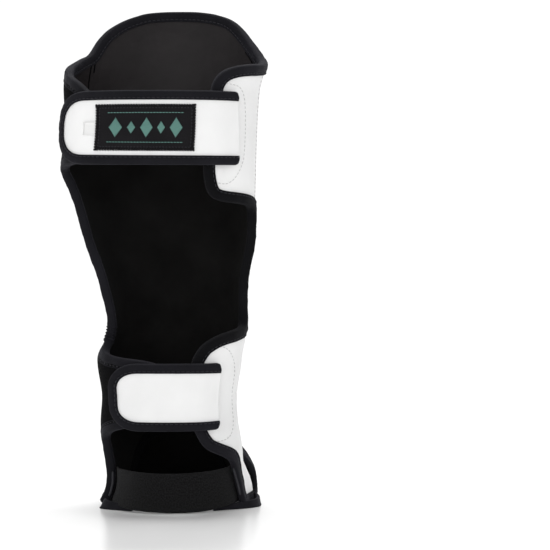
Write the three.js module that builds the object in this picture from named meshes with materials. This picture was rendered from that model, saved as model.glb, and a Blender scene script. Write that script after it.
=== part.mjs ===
// Muay thai shin guard: a padded leg pad with four closing tabs, an instep pad in front of it,
// two hook and loop straps across the calf, an elastic behind the heel, and bound edges all round.
// Millimetres, +Z up. The shin faces +Y, the calf side with the straps faces -Y.
// Every soft piece is a wall between two offsets of one curved sheet, so the guard is hollow.
import * as THREE from 'three';
import { mergeVertices } from 'three/addons/utils/BufferGeometryUtils.js';

// Where the middle of the guard's box lies in the frame that the tables below are written in
const BOX_CENTRE_X = 1.6;
const BOX_CENTRE_Y = 39.8;

// Thickness of each layer, and the small gap that neighbouring layers keep
const LAYER_GAP = 0.3;
const LINING_GAP = 0.5;
const LINING = 1.5;
const EDGE_PAD = 2.5;
const SHIN_PAD = 19;
const INSTEP_PAD = 12;
const LOOP_PANEL = 1.2;
const STRAP = 3;
const ELASTIC = 1.6;
const PATCH = 1;
const TAG = 0.5;

// Binding tape folded over every edge: its thickness, its width on each face, its clearances
const TAPE = 1.1;
const TAPE_WIDTH = 7;
const TAPE_GAP = 1.1;
const INSTEP_TAPE_GAP = 1.2;
const STRAP_TAPE_GAP = 0.6;
const TAPE_SEAM_HALF = 0.15;
const FLOOR_EDGE = 1.9;

// Distances outward from the lining's inner face
const SEAT_GAP = 0.6;
const PAD_INNER = LINING + LINING_GAP;
const TAB_OUTER = PAD_INNER + EDGE_PAD;
const STRAP_INNER = TAB_OUTER + TAPE_GAP + TAPE + SEAT_GAP + TAPE + STRAP_TAPE_GAP;
const STRAP_OUTER = STRAP_INNER + STRAP;
const ELASTIC_SEAT = -(TAPE_GAP + TAPE + 1.5 * SEAT_GAP);
const INSTEP_SEAT = INSTEP_TAPE_GAP + TAPE + 4.5 * SEAT_GAP;

// The padding is thin along a bound edge, then swells to its full thickness over a fade
const THIN_EDGE = 10;
const INSTEP_THIN_EDGE = 12;
const SHIN_FADE = 40;
const INSTEP_FADE = 20;
const INSTEP_FULL_ANGLE = 30;
const INSTEP_THIN_ANGLE = 56;
const ARCH_SLOPE = 0.6;
const DOME_SLOPE = 0.75;
const SHIN_FULL_ANGLE = 28;
const SHIN_THIN_ANGLE = 84;

// Turns rows of numbers into rows with named columns
function table(names, rows) {
  const columns = names.split(' ');
  return rows.map((row) => Object.fromEntries(columns.map((name, i) => [name, row[i]])));
}

// Level sections of the leg: its middle, half its width, and its depth to the front and back
const LEG_SECTIONS = table('height centre halfWidth front back', [
  [0, 14, 57.5, 59.5, 47.5],
  [20, 13.3, 56.3, 57.5, 47],
  [34, 12.3, 55.5, 56.5, 46.5],
  [48, 10.9, 56.2, 56, 46.5],
  [62, 8.4, 56, 55.5, 46.5],
  [78, 6.9, 55.2, 55, 46.8],
  [97, 7.1, 54.1, 54.5, 47.5],
  [130, 7.2, 58.3, 55.5, 48.5],
  [144, 11.6, 56.6, 55.5, 48.5],
  [160, 13.8, 55.8, 56.5, 49.5],
  [196, 10.4, 59.4, 58.5, 51.5],
  [236, 7, 69.5, 61.5, 54.5],
  [268, 3, 74.5, 62.5, 57.5],
  [283, 0.5, 77.5, 63, 58.5],
  [297, -2, 80.4, 63.5, 59.5],
  [333, 0.3, 79.2, 64.5, 60],
  [366, 0.9, 80.8, 66.5, 59.5],
  [389, 4.5, 82.5, 68.5, 57.5],
  [411, 4, 83.5, 71.5, 55.5],
  [436, 5, 83.5, 76.5, 53.5],
]);

// Foot of the leg pad's side walls, which turns outward just above the floor
const RIM_FLARE = { left: 0.13, right: 0.03, height: 24, power: 1.8, angle: 62, fade: 26 };
// How square the calf side is: 2 is an ellipse
const BACK_SQUARE = 2.5;

// Angle 0 is the shin, 90 the right side, 180 the calf, -90 the left side.
// Top edge of the leg pad: the upper tabs' top edges and the dome over the knee
const TOP_EDGE = table('angle height', [
  [-167.5, 336],
  [-165, 343.5],
  [-160, 348],
  [-152, 351.5],
  [-140, 356],
  [-131, 362],
  [-124, 368],
  [-116, 372],
  [-104, 376.6],
  [-90, 384],
  [-73, 390.2],
  [-64, 394.4],
  [-56, 397.8],
  [-51, 404.8],
  [-45.5, 414.3],
  [-39, 422.7],
  [-25, 433.4],
  [-13, 438.1],
  [0, 439.4],
  [12, 439.3],
  [26, 436.9],
  [39, 431.6],
  [48, 423.4],
  [55.5, 414.4],
  [63, 405.9],
  [75, 395.6],
  [90, 389.4],
  [104, 386.3],
  [118, 385],
  [128, 383.6],
  [138.2, 380.3],
  [142, 377.2],
  [144.5, 372.5],
  [146, 364],
  [149, 336],
]);

// Bottom edge of the leg pad's front: on the floor at both sides, arched over the foot
const BOTTOM_EDGE = table('angle height', [
  [-62, FLOOR_EDGE],
  [-56, 6],
  [-48, 20],
  [-35, 43],
  [-20, 57],
  [0, 62],
  [20, 57],
  [35, 43],
  [48, 20],
  [56, 6],
  [62, FLOOR_EDGE],
]);

// Columns of the leg pad's body between its open side edges
const BODY_ANGLES = [-91.5, -82, -71, -60, -50, -40, -27, -9, 9, 27, 40, 50, 60, 71, 84, 95];

// Where the tabs leave the open side edges: top of the lower tabs, bottom of the upper tabs
const LEFT_EDGE = { angle: -91.5, lowTop: 152, highBottom: 282 };
const RIGHT_EDGE = { angle: 95, lowTop: 169, highBottom: 249 };

// Tabs from the body outward, a row for each column with its lower and upper edge
const LOWER_LEFT_TAB = table('angle low high', [
  [-92.2, 12, 150],
  [-92.8, 29, 148.2],
  [-93.6, 42, 146],
  [-95.3, 52, 143],
  [-98.5, 58.6, 140],
  [-103, 63, 137.2],
  [-109, 66.2, 135.6],
  [-118, 69.4, 133.8],
  [-134, 73.3, 132],
  [-155, 76.8, 130.4],
  [-171, 80.5, 127.3],
  [-175.5, 85, 122.8],
  [-177, 92, 115],
]);
const LOWER_RIGHT_TAB = table('angle low high', [
  [96, FLOOR_EDGE, 163],
  [99, FLOOR_EDGE, 159.4],
  [104.5, FLOOR_EDGE, 157.8],
  [106.2, 7, 157.4],
  [107.2, 13, 157.2],
  [108.4, 20, 157],
  [111, 28.5, 156.7],
  [113.8, 36.5, 156.3],
  [119.6, 44.4, 155.4],
  [129.2, 48.6, 153.9],
  [140.5, 53, 151.1],
  [147.5, 56.6, 147.8],
  [151, 62.5, 145.6],
  [154.5, 71, 142.4],
  [158.3, 86, 129],
]);
const UPPER_LEFT_TAB = table('angle low', [
  [-93, 288],
  [-96, 295.3],
  [-102, 299],
  [-114, 301.4],
  [-128, 302.8],
  [-142, 304.3],
  [-153, 306.2],
  [-160, 309],
  [-165, 314],
  [-167.5, 321.5],
]);
const UPPER_RIGHT_TAB = table('angle low', [
  [96, 256],
  [98, 260.5],
  [102, 264],
  [108.5, 266.2],
  [118.4, 267.9],
  [130.6, 269.3],
  [138, 270.3],
  [142.5, 271.5],
  [146, 274],
  [148, 278.5],
  [149, 286],
]);

// Columns where the hem along the floor meets the rest of the binding
const HEM_ENDS = { left: -92.2, right: 107.2 };

// Shares of the way up each band of rows, closer together beside a bound edge
const LOWER_SHARES = [0, 0.07, 0.18, 0.4, 0.65, 0.91, 1];
const MIDDLE_SHARES = [0.08, 0.36, 0.64, 0.92];
const UPPER_SHARES = [0, 0.09, 0.38, 0.7, 0.92, 1];

// Straps across the calf: sewn to the right tab at root, with a free round end on the left tab
const STRAPS = table('name rootLow rootHigh flatFrom flatTo end low high corner', [
  ['upper_strap', 127.1, 130, 158.5, 216.5, 249.5, 301.5, 360.5, 27],
  ['lower_strap', 135.4, 135.7, 158, 202, 229.5, 73.5, 128, 21],
]);
const STRAP_STEPS = { root: 3, flat: 6, end: 3 };
const CORNER_STEPS = 4;

// Loop fastening over the outside of the left tabs, inside the tape round their edges
const LOOP_PANELS = [
  { name: 'upper_loop_panel', tab: UPPER_LEFT_TAB, start: -97, end: -156 },
  { name: 'lower_loop_panel', tab: LOWER_LEFT_TAB, start: -100, end: -167 },
];
const LOOP_INSET = TAPE_WIDTH + 2 * TAPE_GAP;
const LOOP_SEAT = 1.25 * SEAT_GAP;
const LOOP_STEPS = 10;

// Woven patch and size tag on the upper strap
const PATCH_SPAN = { start: 158.5, end: 216.5, low: 312, high: 350 };
const TAG_SPAN = { start: 217.2, end: 225.5, low: 324.3, high: 335.8 };

// Elastic behind the heel, sewn inside the leg pad at both ends and bowed out between them
const ELASTIC_SPAN = { start: 98, end: 268, bowStart: 136, bowEnd: 244, bow: 6, columns: 18, rows: 2 };
const ELASTIC_EDGES = { lowEnds: 7, lowMiddle: 0, highStart: 38, highMiddle: 34, highEnd: 34.5 };

// Instep pad: its upper edge lies on the leg pad, its lower edge on the floor round the toes
const INSTEP_HALF_ANGLE = 82;
const INSTEP_CORNER = { radius: 13, turn: 12 };
const INSTEP_COLUMNS = 20;
const INSTEP_RISES = [0, 0.025, 0.09, 0.2, 0.37, 0.56, 0.76, 0.91, 0.975, 1];
const INSTEP_TOP = { halfAngle: 47, front: 94, side: 40, bend: 1.7 };
const INSTEP_FLOOR = { centre: 15.2, halfWidth: 65, heel: 22, toe: 147.5, round: 0.8, nose: 0.9 };
const INSTEP_SLOPE = { frontDip: 0.3, frontPower: 1, sidePower: 4.6 };

const DEGREE = Math.PI / 180;
const ANGLE_PROBE = 0.5;
const HEIGHT_PROBE = 0.5;
const RISE_PROBE = 0.01;
const MERGE_DISTANCE = 1e-4;

function clamp01(value) {
  return Math.min(Math.max(value, 0), 1);
}

function smooth(value) {
  const t = clamp01(value);
  return t * t * (3 - 2 * t);
}

function mix(from, to, share) {
  return from + (to - from) * share;
}

function steps(count, from, to) {
  return Array.from({ length: count + 1 }, (_, i) => mix(from, to, i / count));
}

// Smooth value of one column at a key between rows, with no overshoot
function interpolate(rows, key, column, value) {
  const last = rows.length - 1;
  if (value <= rows[0][key]) return rows[0][column];
  if (value >= rows[last][key]) return rows[last][column];
  const lower = rows.findIndex((row) => row[key] > value) - 1;
  const width = (i) => rows[i + 1][key] - rows[i][key];
  const slope = (i) => (rows[i + 1][column] - rows[i][column]) / width(i);
  const tangent = (i) => {
    if (i === 0) return slope(0);
    if (i === last) return slope(last - 1);
    const before = slope(i - 1);
    const after = slope(i);
    return before * after > 0 ? (2 * before * after) / (before + after) : 0;
  };
  const t = (value - rows[lower][key]) / width(lower);
  const bend = (tangent(lower) * (1 - t) - tangent(lower + 1) * t) * width(lower) * t * (1 - t);
  return mix(rows[lower][column], rows[lower + 1][column], smooth(t)) + bend;
}

// Inner face of the leg's lining at an angle round the leg and a height
function legPoint(angle, height) {
  const section = (column) => interpolate(LEG_SECTIONS, 'height', column, height);
  const across = Math.sin(angle * DEGREE);
  const along = Math.cos(angle * DEGREE);
  const square = (1 - Math.abs(across) ** BACK_SQUARE) ** (1 / BACK_SQUARE);
  const depth = along > 0 ? section('front') * along : -section('back') * square;
  const low = clamp01(1 - height / RIM_FLARE.height) ** RIM_FLARE.power;
  const wrapped = THREE.MathUtils.euclideanModulo(angle + 180, 360) - 180;
  const share = mix(RIM_FLARE.left, RIM_FLARE.right, (1 + across) / 2);
  const flare = 1 + share * low * smooth((Math.abs(wrapped) - RIM_FLARE.angle) / RIM_FLARE.fade);
  const x = section('centre') + section('halfWidth') * across * flare;
  return new THREE.Vector3(x, depth * flare, height);
}

// A sheet is a surface over an angle and a rise, with the step that probes its rise
const LEG = { surface: legPoint, probe: HEIGHT_PROBE };

// Place, tangents and outward normal of a sheet
function frameAt({ surface, probe }, { angle, rise }) {
  const across = surface(angle + ANGLE_PROBE, rise).sub(surface(angle - ANGLE_PROBE, rise));
  const up = surface(angle, rise + probe).sub(surface(angle, rise - probe));
  across.divideScalar(2 * ANGLE_PROBE);
  up.divideScalar(2 * probe);
  const normal = new THREE.Vector3().crossVectors(up, across).normalize();
  return { point: surface(angle, rise), across, up, normal };
}

function offset(sheet, node, distance) {
  const { point, normal } = frameAt(sheet, node);
  return point.addScaledVector(normal, distance(node));
}

function topEdge(angle) {
  return interpolate(TOP_EDGE, 'angle', 'height', angle);
}

function bottomEdge(angle) {
  return interpolate(BOTTOM_EDGE, 'angle', 'height', angle);
}

// Outer face of the shin's padding: thick in front, thin at the sides and along bound edges
function legOuter({ angle, rise }) {
  const turned = (Math.abs(angle) - SHIN_FULL_ANGLE) / (SHIN_THIN_ANGLE - SHIN_FULL_ANGLE);
  const fromEdge = Math.min((topEdge(angle) - rise) * DOME_SLOPE, (rise - bottomEdge(angle)) * ARCH_SLOPE);
  const swell = (1 - smooth(turned)) * smooth((fromEdge - THIN_EDGE) / SHIN_FADE);
  return TAB_OUTER + (SHIN_PAD - EDGE_PAD) * swell;
}

// Body of the leg pad: rows from the floor or arch up to the dome
function bodyGrid() {
  const between = (name, angle) => {
    const share = (angle - LEFT_EDGE.angle) / (RIGHT_EDGE.angle - LEFT_EDGE.angle);
    return mix(LEFT_EDGE[name], RIGHT_EDGE[name], share);
  };
  const band = (shares, from, to) => shares.map((share) => BODY_ANGLES.map((angle) => (
    { angle, rise: mix(from(angle), to(angle), share) })));
  const lowTop = (angle) => between('lowTop', angle);
  const highBottom = (angle) => between('highBottom', angle);
  return [
    ...band(LOWER_SHARES, bottomEdge, lowTop),
    ...band(MIDDLE_SHARES, lowTop, highBottom),
    ...band(UPPER_SHARES, highBottom, topEdge),
  ];
}

// Tab columns next to the body's edge column, ordered from left to right
function tabGrid(edgeColumn, rows, shares) {
  const columns = rows.map(({ angle, low, high = topEdge(angle) }) => (
    shares.map((share) => ({ angle, rise: mix(low, high, share) }))));
  const ordered = rows[0].angle < 0 ? [...columns.reverse(), edgeColumn] : [edgeColumn, ...columns];
  return shares.map((_, row) => ordered.map((column) => column[row]));
}

function columnOf(grid, column) {
  return grid.map((row) => row.at(column));
}

// Rim of a grid: up the left side, along the top, down the right side and back below
function rimOf(grid) {
  return [
    ...columnOf(grid, 0).slice(0, -1),
    ...grid.at(-1).slice(0, -1),
    ...columnOf(grid, -1).slice(1).reverse(),
    ...grid[0].slice(1).reverse(),
  ];
}

// Three sides of a tab's rim, from one end of its seam with the body to the other
function tabRim(grid, isLeft) {
  const top = grid.at(-1);
  return isLeft
    ? [...[...grid[0]].reverse(), ...columnOf(grid, 0).slice(1), ...top.slice(1)]
    : [...top, ...columnOf(grid, -1).reverse().slice(1), ...[...grid[0]].reverse().slice(1)];
}

// The leg pad's grids and its rim, which starts at the left end of the floor edge
function legLayout() {
  const body = bodyGrid();
  const lower = body.slice(0, LOWER_SHARES.length);
  const upper = body.slice(-UPPER_SHARES.length);
  const middle = body.slice(LOWER_SHARES.length, -UPPER_SHARES.length);
  const lowerLeft = tabGrid(columnOf(lower, 0), LOWER_LEFT_TAB, LOWER_SHARES);
  const upperLeft = tabGrid(columnOf(upper, 0), UPPER_LEFT_TAB, UPPER_SHARES);
  const upperRight = tabGrid(columnOf(upper, -1), UPPER_RIGHT_TAB, UPPER_SHARES);
  const lowerRight = tabGrid(columnOf(lower, -1), LOWER_RIGHT_TAB, LOWER_SHARES);
  const rim = [
    ...tabRim(lowerLeft, true),
    ...columnOf(middle, 0),
    ...tabRim(upperLeft, true),
    ...body.at(-1).slice(1, -1),
    ...tabRim(upperRight, false),
    ...columnOf(middle, -1).reverse(),
    ...tabRim(lowerRight, false),
    ...body[0].slice(1, -1).reverse(),
  ];
  return { grids: [body, lowerLeft, upperLeft, upperRight, lowerRight], rim };
}

function closedGeometry(corners) {
  const geometry = mergeVertices(new THREE.BufferGeometry().setFromPoints(corners), MERGE_DISTANCE);
  geometry.computeVertexNormals();
  return geometry;
}

// Closed wall between an inner and an outer offset of grids that share one rim
function wall(sheet, grids, rim, inner, outer) {
  const corners = [];
  const quad = (a, b, c, d) => corners.push(a, b, c, a, c, d);
  const seat = ({ angle, rise }) => sheet.surface(angle, rise);
  for (const grid of grids) {
    const inside = grid.map((row) => row.map((node) => offset(sheet, node, inner)));
    const outside = grid.map((row) => row.map((node) => offset(sheet, node, outer)));
    const cell = (face, row, column) => [
      face[row][column],
      face[row + 1][column],
      face[row + 1][column + 1],
      face[row][column + 1],
    ];
    for (let row = 0; row < grid.length - 1; row += 1) {
      for (let column = 0; column < grid[0].length - 1; column += 1) {
        const [a, b, c, d] = cell(grid, row, column).map(seat);
        const turned = b.distanceTo(d) < a.distanceTo(c);
        const ordered = (face) => {
          const [first, ...rest] = cell(face, row, column);
          return turned ? [...rest, first] : [first, ...rest];
        };
        const [p, q, r, s] = ordered(inside);
        quad(...ordered(outside));
        quad(p, s, r, q);
      }
    }
  }
  rim.forEach((node, i) => {
    const next = rim[(i + 1) % rim.length];
    const start = [offset(sheet, node, outer), offset(sheet, node, inner)];
    quad(offset(sheet, next, outer), ...start, offset(sheet, next, inner));
  });
  return closedGeometry(corners);
}

function gridWall(sheet, grid, inner, outer) {
  return wall(sheet, [grid], rimOf(grid), inner, outer);
}

// Section of a folded tape: distance in from the edge, the face that it lies on, and its lift
function tapeSection(width, gap) {
  const lip = gap + TAPE;
  return [
    { inward: width, face: 'inner', lift: -gap },
    { inward: -gap, face: 'inner', lift: -gap },
    { inward: -gap, face: 'outer', lift: gap },
    { inward: width, face: 'outer', lift: gap },
    { inward: width, face: 'outer', lift: lip },
    { inward: -lip, face: 'outer', lift: lip },
    { inward: -lip, face: 'inner', lift: -lip },
    { inward: width, face: 'inner', lift: -lip },
  ];
}

// Ring of tape at an edge node: both arms follow the sheet inward, and none goes below the floor
function tapeRing(sheet, node, tangent, width, gap, faces) {
  const { point, across, up, normal } = frameAt(sheet, node);
  const inward = new THREE.Vector3().crossVectors(normal, tangent).normalize();
  const acrossSq = across.dot(across);
  const upSq = up.dot(up);
  const skew = across.dot(up);
  const scale = 1 / (acrossSq * upSq - skew * skew);
  const perAngle = (upSq * across.dot(inward) - skew * up.dot(inward)) * scale;
  const perRise = (acrossSq * up.dot(inward) - skew * across.dot(inward)) * scale;
  return tapeSection(width, gap).map(({ inward: reach, face, lift }) => {
    const arm = Math.max(reach, 0);
    const foot = { angle: node.angle + perAngle * arm, rise: node.rise + perRise * arm };
    const distance = faces[face](foot) + lift;
    const place = reach > 0
      ? offset(sheet, foot, () => distance)
      : point.clone().addScaledVector(normal, distance).addScaledVector(inward, reach);
    place.z = Math.max(place.z, 0);
    return place;
  });
}

// Rings of tape along an edge, narrowed where the edge turns tightly
function tapeRings(sheet, edge, closed, gap, faces) {
  const count = edge.length;
  const seats = edge.map((node) => sheet.surface(node.angle, node.rise));
  return edge.map((node, i) => {
    const previous = closed ? (i + count - 1) % count : Math.max(i - 1, 0);
    const following = closed ? (i + 1) % count : Math.min(i + 1, count - 1);
    const before = seats[i].clone().sub(seats[previous]);
    const after = seats[following].clone().sub(seats[i]);
    const tangent = before.clone().normalize().add(after.clone().normalize()).normalize();
    const isEnd = previous === i || following === i;
    const turn = isEnd ? 0 : before.angleTo(after);
    const radius = Math.min(before.length(), after.length()) / Math.max(turn, DEGREE);
    const width = isEnd ? TAPE_WIDTH : Math.min(TAPE_WIDTH, Math.max(radius, TAPE_WIDTH / 2));
    return { tangent, places: tapeRing(sheet, node, tangent, width, gap, faces) };
  });
}

// Closed body through rings of tape, joined end to end or cut off square at both ends
function sweep(rings, closed) {
  const corners = [];
  const sections = rings.map(({ places }) => places);
  const size = sections[0].length;
  if (!closed) {
    const outline = tapeSection(TAPE_WIDTH, TAPE_GAP).map(({ inward, face, lift }) => (
      new THREE.Vector2(inward, face === 'outer' ? TAB_OUTER + lift : lift)));
    const shifted = (ring, distance) => (
      ring.places.map((place) => place.clone().addScaledVector(ring.tangent, distance)));
    const first = shifted(rings[0], TAPE_SEAM_HALF);
    const last = shifted(rings.at(-1), -TAPE_SEAM_HALF);
    sections[0] = first;
    sections[sections.length - 1] = last;
    THREE.ShapeUtils.triangulateShape(outline, []).forEach(([a, b, c]) => {
      corners.push(last[a], last[b], last[c], first[c], first[b], first[a]);
    });
  }
  const spans = closed ? sections.length : sections.length - 1;
  for (let span = 0; span < spans; span += 1) {
    const here = sections[span];
    const next = sections[(span + 1) % sections.length];
    for (let i = 0; i < size; i += 1) {
      const j = (i + 1) % size;
      corners.push(here[i], here[j], next[j], here[i], next[j], next[i]);
    }
  }
  return closedGeometry(corners);
}

// Half width at a distance from a rounded end, drawn in by the corner over its turn
function roundedReach(corner, turn, half, distance) {
  const share = clamp01(1 - distance / turn);
  return half - corner * (1 - Math.sqrt(1 - share * share));
}

// Angle that a length spans on the outside of the leg
function spanOf(length, angle, height) {
  const { across } = frameAt(LEG, { angle, rise: height });
  return length / across.length();
}

function cornerStops(end, turn) {
  return steps(CORNER_STEPS, 0, 90).slice(1).map((step) => end + turn * (Math.sin(step * DEGREE) - 1));
}

// Grid of a strap: level rows, square at the root and round at the free end
function strapGrid({ rootLow, rootHigh, flatFrom, flatTo, end, low, high, corner }) {
  const middle = (low + high) / 2;
  const half = (high - low) / 2;
  const turn = spanOf(corner, end, middle);
  const anglesFrom = (root) => [
    ...steps(STRAP_STEPS.root, root, flatFrom),
    ...steps(STRAP_STEPS.flat, flatFrom, flatTo).slice(1),
    ...steps(STRAP_STEPS.end, flatTo, end - turn).slice(1),
    ...cornerStops(end, turn),
  ];
  const reach = (angle) => roundedReach(corner, turn, half, end - angle);
  return steps(2, 0, 1).map((share) => anglesFrom(mix(rootLow, rootHigh, share)).map((angle) => (
    { angle, rise: middle + mix(-1, 1, share) * reach(angle) })));
}

// Grid of a loop panel, which follows its tab's edges from the left end of the tab towards the body
function panelGrid({ tab, start, end }) {
  const rows = tab.map(({ angle, low, high = topEdge(angle) }) => ({ angle, low, high })).reverse();
  const edge = (angle, column) => interpolate(rows, 'angle', column, angle);
  const angles = steps(LOOP_STEPS, end, start);
  return steps(2, 0, 1).map((share) => angles.map((angle) => (
    { angle, rise: mix(edge(angle, 'low') + LOOP_INSET, edge(angle, 'high') - LOOP_INSET, share) })));
}

function squareGrid({ start, end, low, high }, columns) {
  return steps(2, low, high).map((rise) => steps(columns, start, end).map((angle) => ({ angle, rise })));
}

// Elastic: bowed out behind the heel, its lower edge dipping to the floor in the middle
function elasticGrid() {
  const { start, end, columns, rows } = ELASTIC_SPAN;
  const { lowEnds, lowMiddle, highStart, highMiddle, highEnd } = ELASTIC_EDGES;
  return steps(rows, 0, 1).map((upShare) => steps(columns, 0, 1).map((share) => {
    const dip = Math.sin(share * Math.PI) ** 2;
    const low = mix(lowEnds, lowMiddle, dip);
    const high = mix(mix(highStart, highEnd, share), highMiddle, dip);
    return { angle: mix(start, end, share), rise: mix(low, high, upShare) };
  }));
}

function elasticOuter({ angle }) {
  const { bowStart, bowEnd, bow } = ELASTIC_SPAN;
  const share = clamp01((angle - bowStart) / (bowEnd - bowStart));
  return ELASTIC_SEAT + bow * Math.sin(share * Math.PI) ** 2;
}

// Upper edge of the instep pad, on the outside of the leg pad
function instepTop(angle) {
  const share = Math.abs(angle) / INSTEP_HALF_ANGLE;
  const legAngle = INSTEP_TOP.halfAngle * Math.sign(angle) * share;
  const node = { angle: legAngle, rise: mix(INSTEP_TOP.front, INSTEP_TOP.side, share ** INSTEP_TOP.bend) };
  return offset(LEG, node, () => legOuter(node) + INSTEP_SEAT);
}

// Lower edge of the instep pad, on the floor from one heel corner round the toes to the other
function instepFloor(angle) {
  const { centre, halfWidth, heel, toe, round, nose } = INSTEP_FLOOR;
  const side = Math.sin(angle * DEGREE);
  const x = centre + halfWidth * Math.sign(side) * Math.abs(side) ** round;
  return new THREE.Vector3(x, mix(heel, toe, Math.cos(angle * DEGREE) ** nose), FLOOR_EDGE);
}

// Inner face of the instep's lining: rise 0 on the floor, rise 1 on the leg pad
function instepPoint(angle, rise) {
  const side = clamp01(Math.abs(angle) / INSTEP_HALF_ANGLE) ** 2;
  const top = instepTop(angle);
  const floor = instepFloor(angle);
  const power = mix(INSTEP_SLOPE.frontPower, INSTEP_SLOPE.sidePower, side);
  const out = 1 - Math.sign(rise) * Math.abs(rise) ** power;
  const drop = 1 - rise + INSTEP_SLOPE.frontDip * (1 - side) * rise * (1 - rise);
  return new THREE.Vector3(mix(top.x, floor.x, out), mix(top.y, floor.y, out), mix(top.z, floor.z, drop));
}

const INSTEP = { surface: instepPoint, probe: RISE_PROBE };

function instepOuter({ angle, rise }) {
  const slope = instepTop(angle).distanceTo(instepFloor(angle));
  const sideways = (INSTEP_HALF_ANGLE - Math.abs(angle)) * DEGREE * INSTEP_FLOOR.halfWidth;
  const fromEdge = Math.min(rise * slope, (1 - rise) * slope, sideways);
  const turned = (Math.abs(angle) - INSTEP_FULL_ANGLE) / (INSTEP_THIN_ANGLE - INSTEP_FULL_ANGLE);
  const swell = (1 - smooth(turned)) * smooth((fromEdge - INSTEP_THIN_EDGE) / INSTEP_FADE);
  return TAB_OUTER + (INSTEP_PAD - EDGE_PAD) * swell;
}

// Grid of the instep pad, drawn in at its four round corners
function instepGrid() {
  const { radius, turn } = INSTEP_CORNER;
  const slope = instepTop(INSTEP_HALF_ANGLE).distanceTo(instepFloor(INSTEP_HALF_ANGLE));
  return INSTEP_RISES.map((rise) => {
    const fromEnd = Math.min(rise, 1 - rise) * slope;
    const limit = roundedReach(turn, radius, INSTEP_HALF_ANGLE, fromEnd);
    return steps(INSTEP_COLUMNS, -limit, limit).map((angle) => ({ angle, rise }));
  });
}

const FINISHES = {
  leather: { color: 0xf2f2f0, roughness: 0.45, metalness: 0 },
  lining: { color: 0x0d0c0d, roughness: 0.8, metalness: 0 },
  binding: { color: 0x1c1c20, roughness: 0.75, metalness: 0 },
  loop: { color: 0x151517, roughness: 0.95, metalness: 0 },
  elastic: { color: 0x1a1a1c, roughness: 0.9, metalness: 0 },
  woven: { color: 0x0b0c0c, roughness: 0.85, metalness: 0 },
  tag: { color: 0xefefec, roughness: 0.7, metalness: 0 },
};

const guard = new THREE.Group();
guard.position.set(-BOX_CENTRE_X, -BOX_CENTRE_Y, 0);

function add(name, finish, geometry) {
  const mesh = new THREE.Mesh(geometry, new THREE.MeshStandardMaterial(FINISHES[finish]));
  mesh.name = name;
  guard.add(mesh);
}

const level = (distance) => () => distance;

// Leg pad: lining inside, padded leather outside, tape over the rim and a hem along the floor
function addLegPad() {
  const { grids, rim } = legLayout();
  add('leg_lining', 'lining', wall(LEG, grids, rim, level(0), level(LINING)));
  add('leg_shell', 'leather', wall(LEG, grids, rim, level(PAD_INNER), legOuter));
  const rings = tapeRings(LEG, rim, true, TAPE_GAP, { inner: level(0), outer: legOuter });
  const hemLeft = rim.findIndex(({ angle }) => angle === HEM_ENDS.left);
  const hemRight = rim.findLastIndex(({ angle }) => angle === HEM_ENDS.right);
  add('leg_binding', 'binding', sweep(rings.slice(hemLeft, hemRight + 1), false));
  add('leg_hem', 'binding', sweep([...rings.slice(hemRight), ...rings.slice(0, hemLeft + 1)], false));
}

// Instep pad, layered as the leg pad is
function addInstepPad() {
  const grid = instepGrid();
  add('instep_lining', 'lining', gridWall(INSTEP, grid, level(0), level(LINING)));
  add('instep_shell', 'leather', gridWall(INSTEP, grid, level(PAD_INNER), instepOuter));
  const faces = { inner: level(0), outer: instepOuter };
  const rings = tapeRings(INSTEP, rimOf(grid), true, INSTEP_TAPE_GAP, faces);
  add('instep_binding', 'binding', sweep(rings, true));
}

// Strap with tape along its long edges and round its free end
function addStrap(strap) {
  const grid = strapGrid(strap);
  const freeEnd = columnOf(grid, -1).slice(1, -1).reverse();
  const edge = [...grid.at(-1), ...freeEnd, ...[...grid[0]].reverse()];
  const faces = { inner: level(STRAP_INNER), outer: level(STRAP_OUTER) };
  add(strap.name, 'leather', gridWall(LEG, grid, faces.inner, faces.outer));
  add(`${strap.name}_binding`, 'binding', sweep(tapeRings(LEG, edge, false, STRAP_TAPE_GAP, faces), false));
}

// Thin sheet lying on another one
function addSheet(name, finish, grid, inner, thickness) {
  add(name, finish, gridWall(LEG, grid, level(inner), level(inner + thickness)));
}

addLegPad();
addInstepPad();
STRAPS.forEach(addStrap);
for (const panel of LOOP_PANELS) {
  addSheet(panel.name, 'loop', panelGrid(panel), TAB_OUTER + LOOP_SEAT, LOOP_PANEL);
}
addSheet('patch', 'woven', squareGrid(PATCH_SPAN, STRAP_STEPS.flat), STRAP_OUTER + LAYER_GAP, PATCH);
addSheet('size_tag', 'tag', squareGrid(TAG_SPAN, 1), STRAP_OUTER + LAYER_GAP, TAG);
const elasticInner = (node) => elasticOuter(node) - ELASTIC;
add('foot_elastic', 'elastic', gridWall(LEG, elasticGrid(), elasticInner, elasticOuter));

export default guard;
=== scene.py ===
"""Looks of a muay thai shin guard: leather, lining, binding tape, stitches, straps and elastic.

Sizes in the tables are millimetres. The shin faces +Y, and the calf side with the straps faces -Y.
Angle 0 is the shin, 90 the right side, 180 the calf and -90 the left side.
"""

import math
from types import SimpleNamespace as Values

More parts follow.
